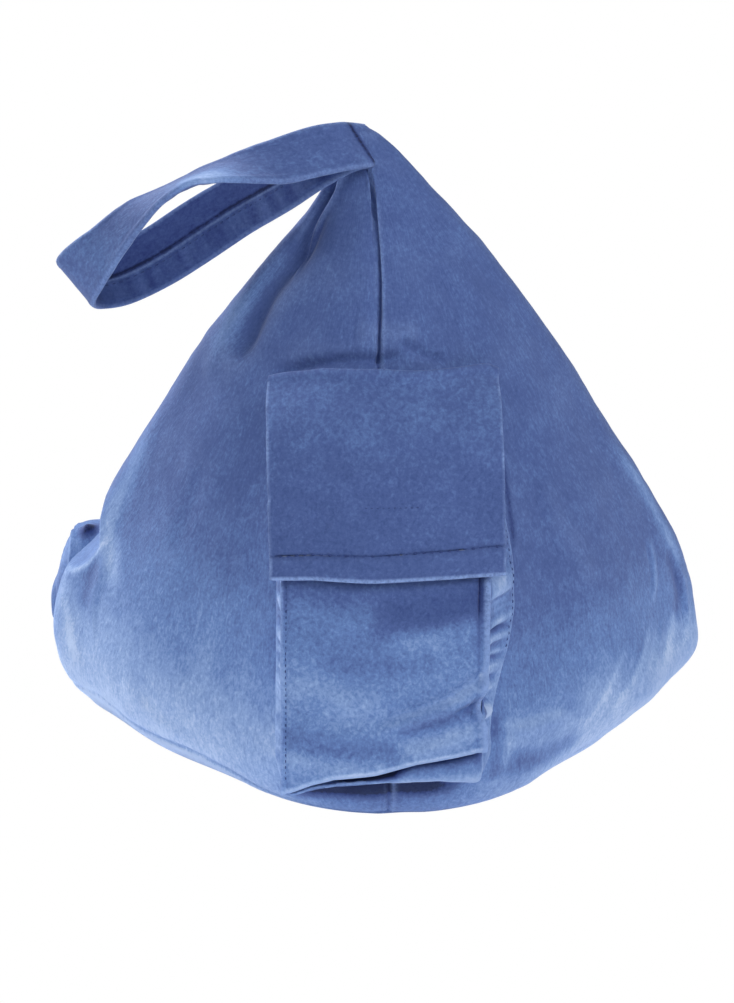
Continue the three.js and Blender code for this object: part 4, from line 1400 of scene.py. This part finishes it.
class PILLOW_OT_loop(Operator):
    """Builds the carry loop: a folded band, with its turned edge and its puckers inside"""

    bl_idname = "pillow.loop"
    bl_label = "Carry loop"

    def execute(self, context):
        size = settings_mm(context.scene.pillow_loop)
        band = smooth_rows(LOOP_BAND, LOOP_ROWS)
        t = np.linspace(-0.5, 0.5, LOOP_COLUMNS)[None, :, None]
        middle = band[:, None, :3] + band[:, None, 3:] * t
        normals = -grid_normals(middle)
        reach = reach_along(band[:, :3])
        along = np.broadcast_to(reach[:, None], middle.shape[:2])
        width = np.linalg.norm(band[:, 3:], axis=1)[:, None]
        across = t[..., 0] * width
        lift = 0.45 * rough(middle, 22, 51) + 0.15 * rough(middle, 7, 52)
        ends = ramp(along, 2, 14) * ramp(reach[-1] - along, 2, 14)
        middle = middle + normals * (lift * ends)[..., None]
        half = size["cloth"] / 2
        puckers = rough(points_of(along, 0, 0), 4.2, 53)
        turned = ramp(across, 0.2, 1.1) * ramp(width / 2 - across, 0.4, 1.4)
        inside = half + (size["turned"] + 0.35 * puckers) * turned * ends
        inside = inside - 0.35 * hump(across + 0.4, 0.6) * ends
        rolled = 0.25 * hump(width / 2 - np.abs(across) - 1.2, 1.0)
        points, faces, rim = sheet_skin(middle, half + rolled, inside)
        # Paler rims: partly wear and partly painted highlight
        wear_and_highlight = 0.35 * ramp(0.9 - (width / 2 - np.abs(across)), 0, 0.8) + 0 * along
        # Painted highlight along the ridge of the turned edge, on the inner face
        ridge = 0.45 * hump(across - 0.8, 0.45) + 0 * along
        # Painted shade over the inner face: deepest in a line beside the ridge and at the join, lighter on
        # the turned strip, with light and dark puckers
        shade = -0.85 + 0.35 * ramp(across, 0.4, 1.2) - 1.1 * hump(across + 0.6, 0.6) + 0.7 * puckers * turned
        shade = shade - 0.8 * hump(along - JOIN_PLACE, 0.7) * ramp(across, 0, 1)
        nap = points_of(across, along, 0) + NAP_SHIFTS["loop_band"]
        sides = over_sheet(wear_and_highlight, rim)
        # Painted highlight where the band lies edge-on and at its end fold, and painted shade in a line at
        # its root
        painted_gleam_and_shade = 1.15 * hump(along - GLEAM_PLACE, 11) * ramp(across, -7, 6)
        painted_gleam_and_shade += 0.25 * hump(along - END_PLACE, 12)
        painted_gleam_and_shade = painted_gleam_and_shade - 1.6 * hump(along - 7.5 + 0.25 * across, 1.3)
        band_painted_light = over_sheet(painted_gleam_and_shade, rim)
        count = wear_and_highlight.size
        sides[count:2 * count] += ridge.ravel()
        band_painted_light[count:2 * count] = shade.ravel()
        loop = make_piece("loop_band", points, faces, cloth_material(), sides, over_sheet(nap, rim), band_painted_light)
        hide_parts("carry_loop")
        column = int(np.argmin(np.abs(t[0, :, 0] * LOOP_WIDTH - LOOP_STITCHES_BELOW)))
        inner = (middle - normals * inside[..., None])[:, column]
        rows = [stitch_row(inner[8:-8], -normals[8:-8, column], pitch=3.1, share=0.62, radius=0.22)]
        stitches = make_stitches("loop_stitches", rows)
        return {"FINISHED"}


# The stage, in metres


CLIP_START = 0.02
FLOOR_REACH = 6.0
FLOOR_DROP = 0.0004
TABLE_COLOUR = "f4f4f4"
# The light table's glow fades out between these distances from the middle
GLOW_EDGE = (0.2, 0.4)
GLOW_STRENGTH = 0.42
ROOM_STRENGTH = 0.02
SOFTBOX_SIZE = 0.7
SOFTBOX_AWAY = 1.18
SOFTBOX_HEIGHT = 1.02
SOFTBOX_AIM = Vector((0, 0, 0.1))
# Each softbox's turn from the photographer's place, to the right, and its watts
SOFTBOXES = (
    ("softbox_back_left", -140, 27.0),
    ("softbox_front_right", 50, 9.0),
    ("softbox_front_left", -50, 5.8),
    ("softbox_front", 0, 3.4),
    ("softbox_right", 95, 3.6),
)


class PILLOW_OT_stage(Operator):
    """Sets the camera, the soft lights and the pale floor"""

    bl_idname = "pillow.stage"
    bl_label = "Stage"

    def execute(self, context):
        self.add_camera(context)
        self.add_floor(context)
        self.add_lights(context)
        context.scene.view_settings.view_transform = "Standard"
        return {"FINISHED"}

    def add_camera(self, context):
        data = bpy.data.cameras.new("camera")
        data.sensor_width = SENSOR_MM
        data.lens = SENSOR_MM * FOCAL_PX / PHOTO_HEIGHT_PX
        data.shift_y = -CENTRE_ABOVE_MIDDLE_PX / PHOTO_HEIGHT_PX
        data.clip_start = CLIP_START
        camera = bpy.data.objects.new("camera", data)
        camera.location = Vector(CAMERA_PLACE_MM) * MM
        camera.rotation_euler = (math.radians(90 - CAMERA_TILT_DEG), 0, 0)
        context.scene.collection.objects.link(camera)
        context.scene.camera = camera

    def add_floor(self, context):
        """A white light table: it glows round the pillow, and the eye sees it evenly white."""
        corners = [(-FLOOR_REACH, -FLOOR_REACH, 0), (FLOOR_REACH, -FLOOR_REACH, 0)]
        corners += [(FLOOR_REACH, FLOOR_REACH, 0), (-FLOOR_REACH, FLOOR_REACH, 0)]
        mesh = bpy.data.meshes.new("floor")
        mesh.from_pydata(corners, [], [(0, 1, 2, 3)])
        material, tree = new_material("white_light_table")
        place = add_node(tree, "ShaderNodeTexCoord")
        away = add_node(
            tree, "ShaderNodeVectorMath", {"operation": "LENGTH"}, None, {0: place.outputs["Object"]}
        )
        glow = add_node(
            tree, "ShaderNodeMapRange", {"interpolation_type": "SMOOTHSTEP"},
            {"From Min": GLOW_EDGE[0], "From Max": GLOW_EDGE[1], "To Min": GLOW_STRENGTH, "To Max": 0.0},
            {"Value": away.outputs["Value"]},
        )
        table = add_node(
            tree, "ShaderNodeBsdfPrincipled", None,
            {"Base Color": (*linear(TABLE_COLOUR), 1), "Roughness": 0.9, "Specular IOR Level": 0.0,
             "Emission Color": (1, 1, 1, 1)},
            {"Emission Strength": glow.outputs[0]},
        )
        white = add_node(tree, "ShaderNodeEmission", None, {"Color": (1, 1, 1, 1), "Strength": 1.0})
        self.add_seen_mix(tree, table.outputs[0], white.outputs[0], "ShaderNodeOutputMaterial")
        mesh.materials.append(material)
        floor = bpy.data.objects.new("floor", mesh)
        floor.location.z = -FLOOR_DROP
        context.scene.collection.objects.link(floor)

    def add_seen_mix(self, tree, lit, seen, output):
        """Ends a material or world that looks like seen and lights the pillow like lit."""
        ray = add_node(tree, "ShaderNodeLightPath")
        mixed = add_node(
            tree, "ShaderNodeMixShader", None, None, {0: ray.outputs["Is Camera Ray"], 1: lit, 2: seen}
        )
        add_node(tree, output, None, None, {"Surface": mixed.outputs[0]})

    def add_lights(self, context):
        """A dim room that the eye sees as plain white, and the softboxes round the pillow."""
        world = bpy.data.worlds.new("white_room")
        context.scene.world = world
        world.use_nodes = True
        tree = world.node_tree
        tree.nodes.clear()
        seen = add_node(tree, "ShaderNodeBackground", None, {"Color": (1, 1, 1, 1), "Strength": 1.0})
        felt = add_node(
            tree, "ShaderNodeBackground", None, {"Color": (1, 1, 1, 1), "Strength": ROOM_STRENGTH}
        )
        self.add_seen_mix(tree, felt.outputs[0], seen.outputs[0], "ShaderNodeOutputWorld")
        for name, turn, watts in SOFTBOXES:
            angle = math.radians(turn)
            place = Vector((math.sin(angle) * SOFTBOX_AWAY, -math.cos(angle) * SOFTBOX_AWAY, SOFTBOX_HEIGHT))
            data = bpy.data.lights.new(name, "AREA")
            data.size = SOFTBOX_SIZE
            data.energy = watts
            light = bpy.data.objects.new(name, data)
            light.location = place
            light.rotation_euler = (SOFTBOX_AIM - place).to_track_quat("-Z", "Y").to_euler()
            context.scene.collection.objects.link(light)


STEPS = ("stage", "body", "ledge", "pocket", "flap", "loop")
SETTINGS = {
    "pillow_cloth": PillowCloth,
    "pillow_body": PillowBody,
    "pillow_pocket": PillowPocket,
    "pillow_flap": PillowFlap,
    "pillow_loop": PillowLoop,
}


class PILLOW_PT_pieces(Panel):
    """Lists the pillow's pieces and their settings"""

    bl_idname = "PILLOW_PT_pieces"
    bl_label = "Book rest pillow"
    bl_space_type = "VIEW_3D"
    bl_region_type = "UI"
    bl_category = "Pillow"

    def draw(self, context):
        for step in STEPS:
            self.layout.operator("pillow." + step)
        for key in SETTINGS:
            box = self.layout.box()
            group = getattr(context.scene, key)
            for prop in group.bl_rna.properties:
                if prop.type == "FLOAT":
                    box.prop(group, prop.identifier)


CLASSES = (
    *SETTINGS.values(),
    PILLOW_OT_stage,
    PILLOW_OT_body,
    PILLOW_OT_ledge,
    PILLOW_OT_pocket,
    PILLOW_OT_flap,
    PILLOW_OT_loop,
    PILLOW_PT_pieces,
)


def register():
    for cls in CLASSES:
        bpy.utils.register_class(cls)
    for key, group in SETTINGS.items():
        setattr(bpy.types.Scene, key, PointerProperty(type=group))


def unregister():
    for key in SETTINGS:
        delattr(bpy.types.Scene, key)
    for cls in reversed(CLASSES):
        bpy.utils.unregister_class(cls)


def main():
    """Builds every piece."""
    register()
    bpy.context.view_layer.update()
    for step in STEPS:
        getattr(bpy.ops.pillow, step)()


if __name__ == "__main__":
    main()
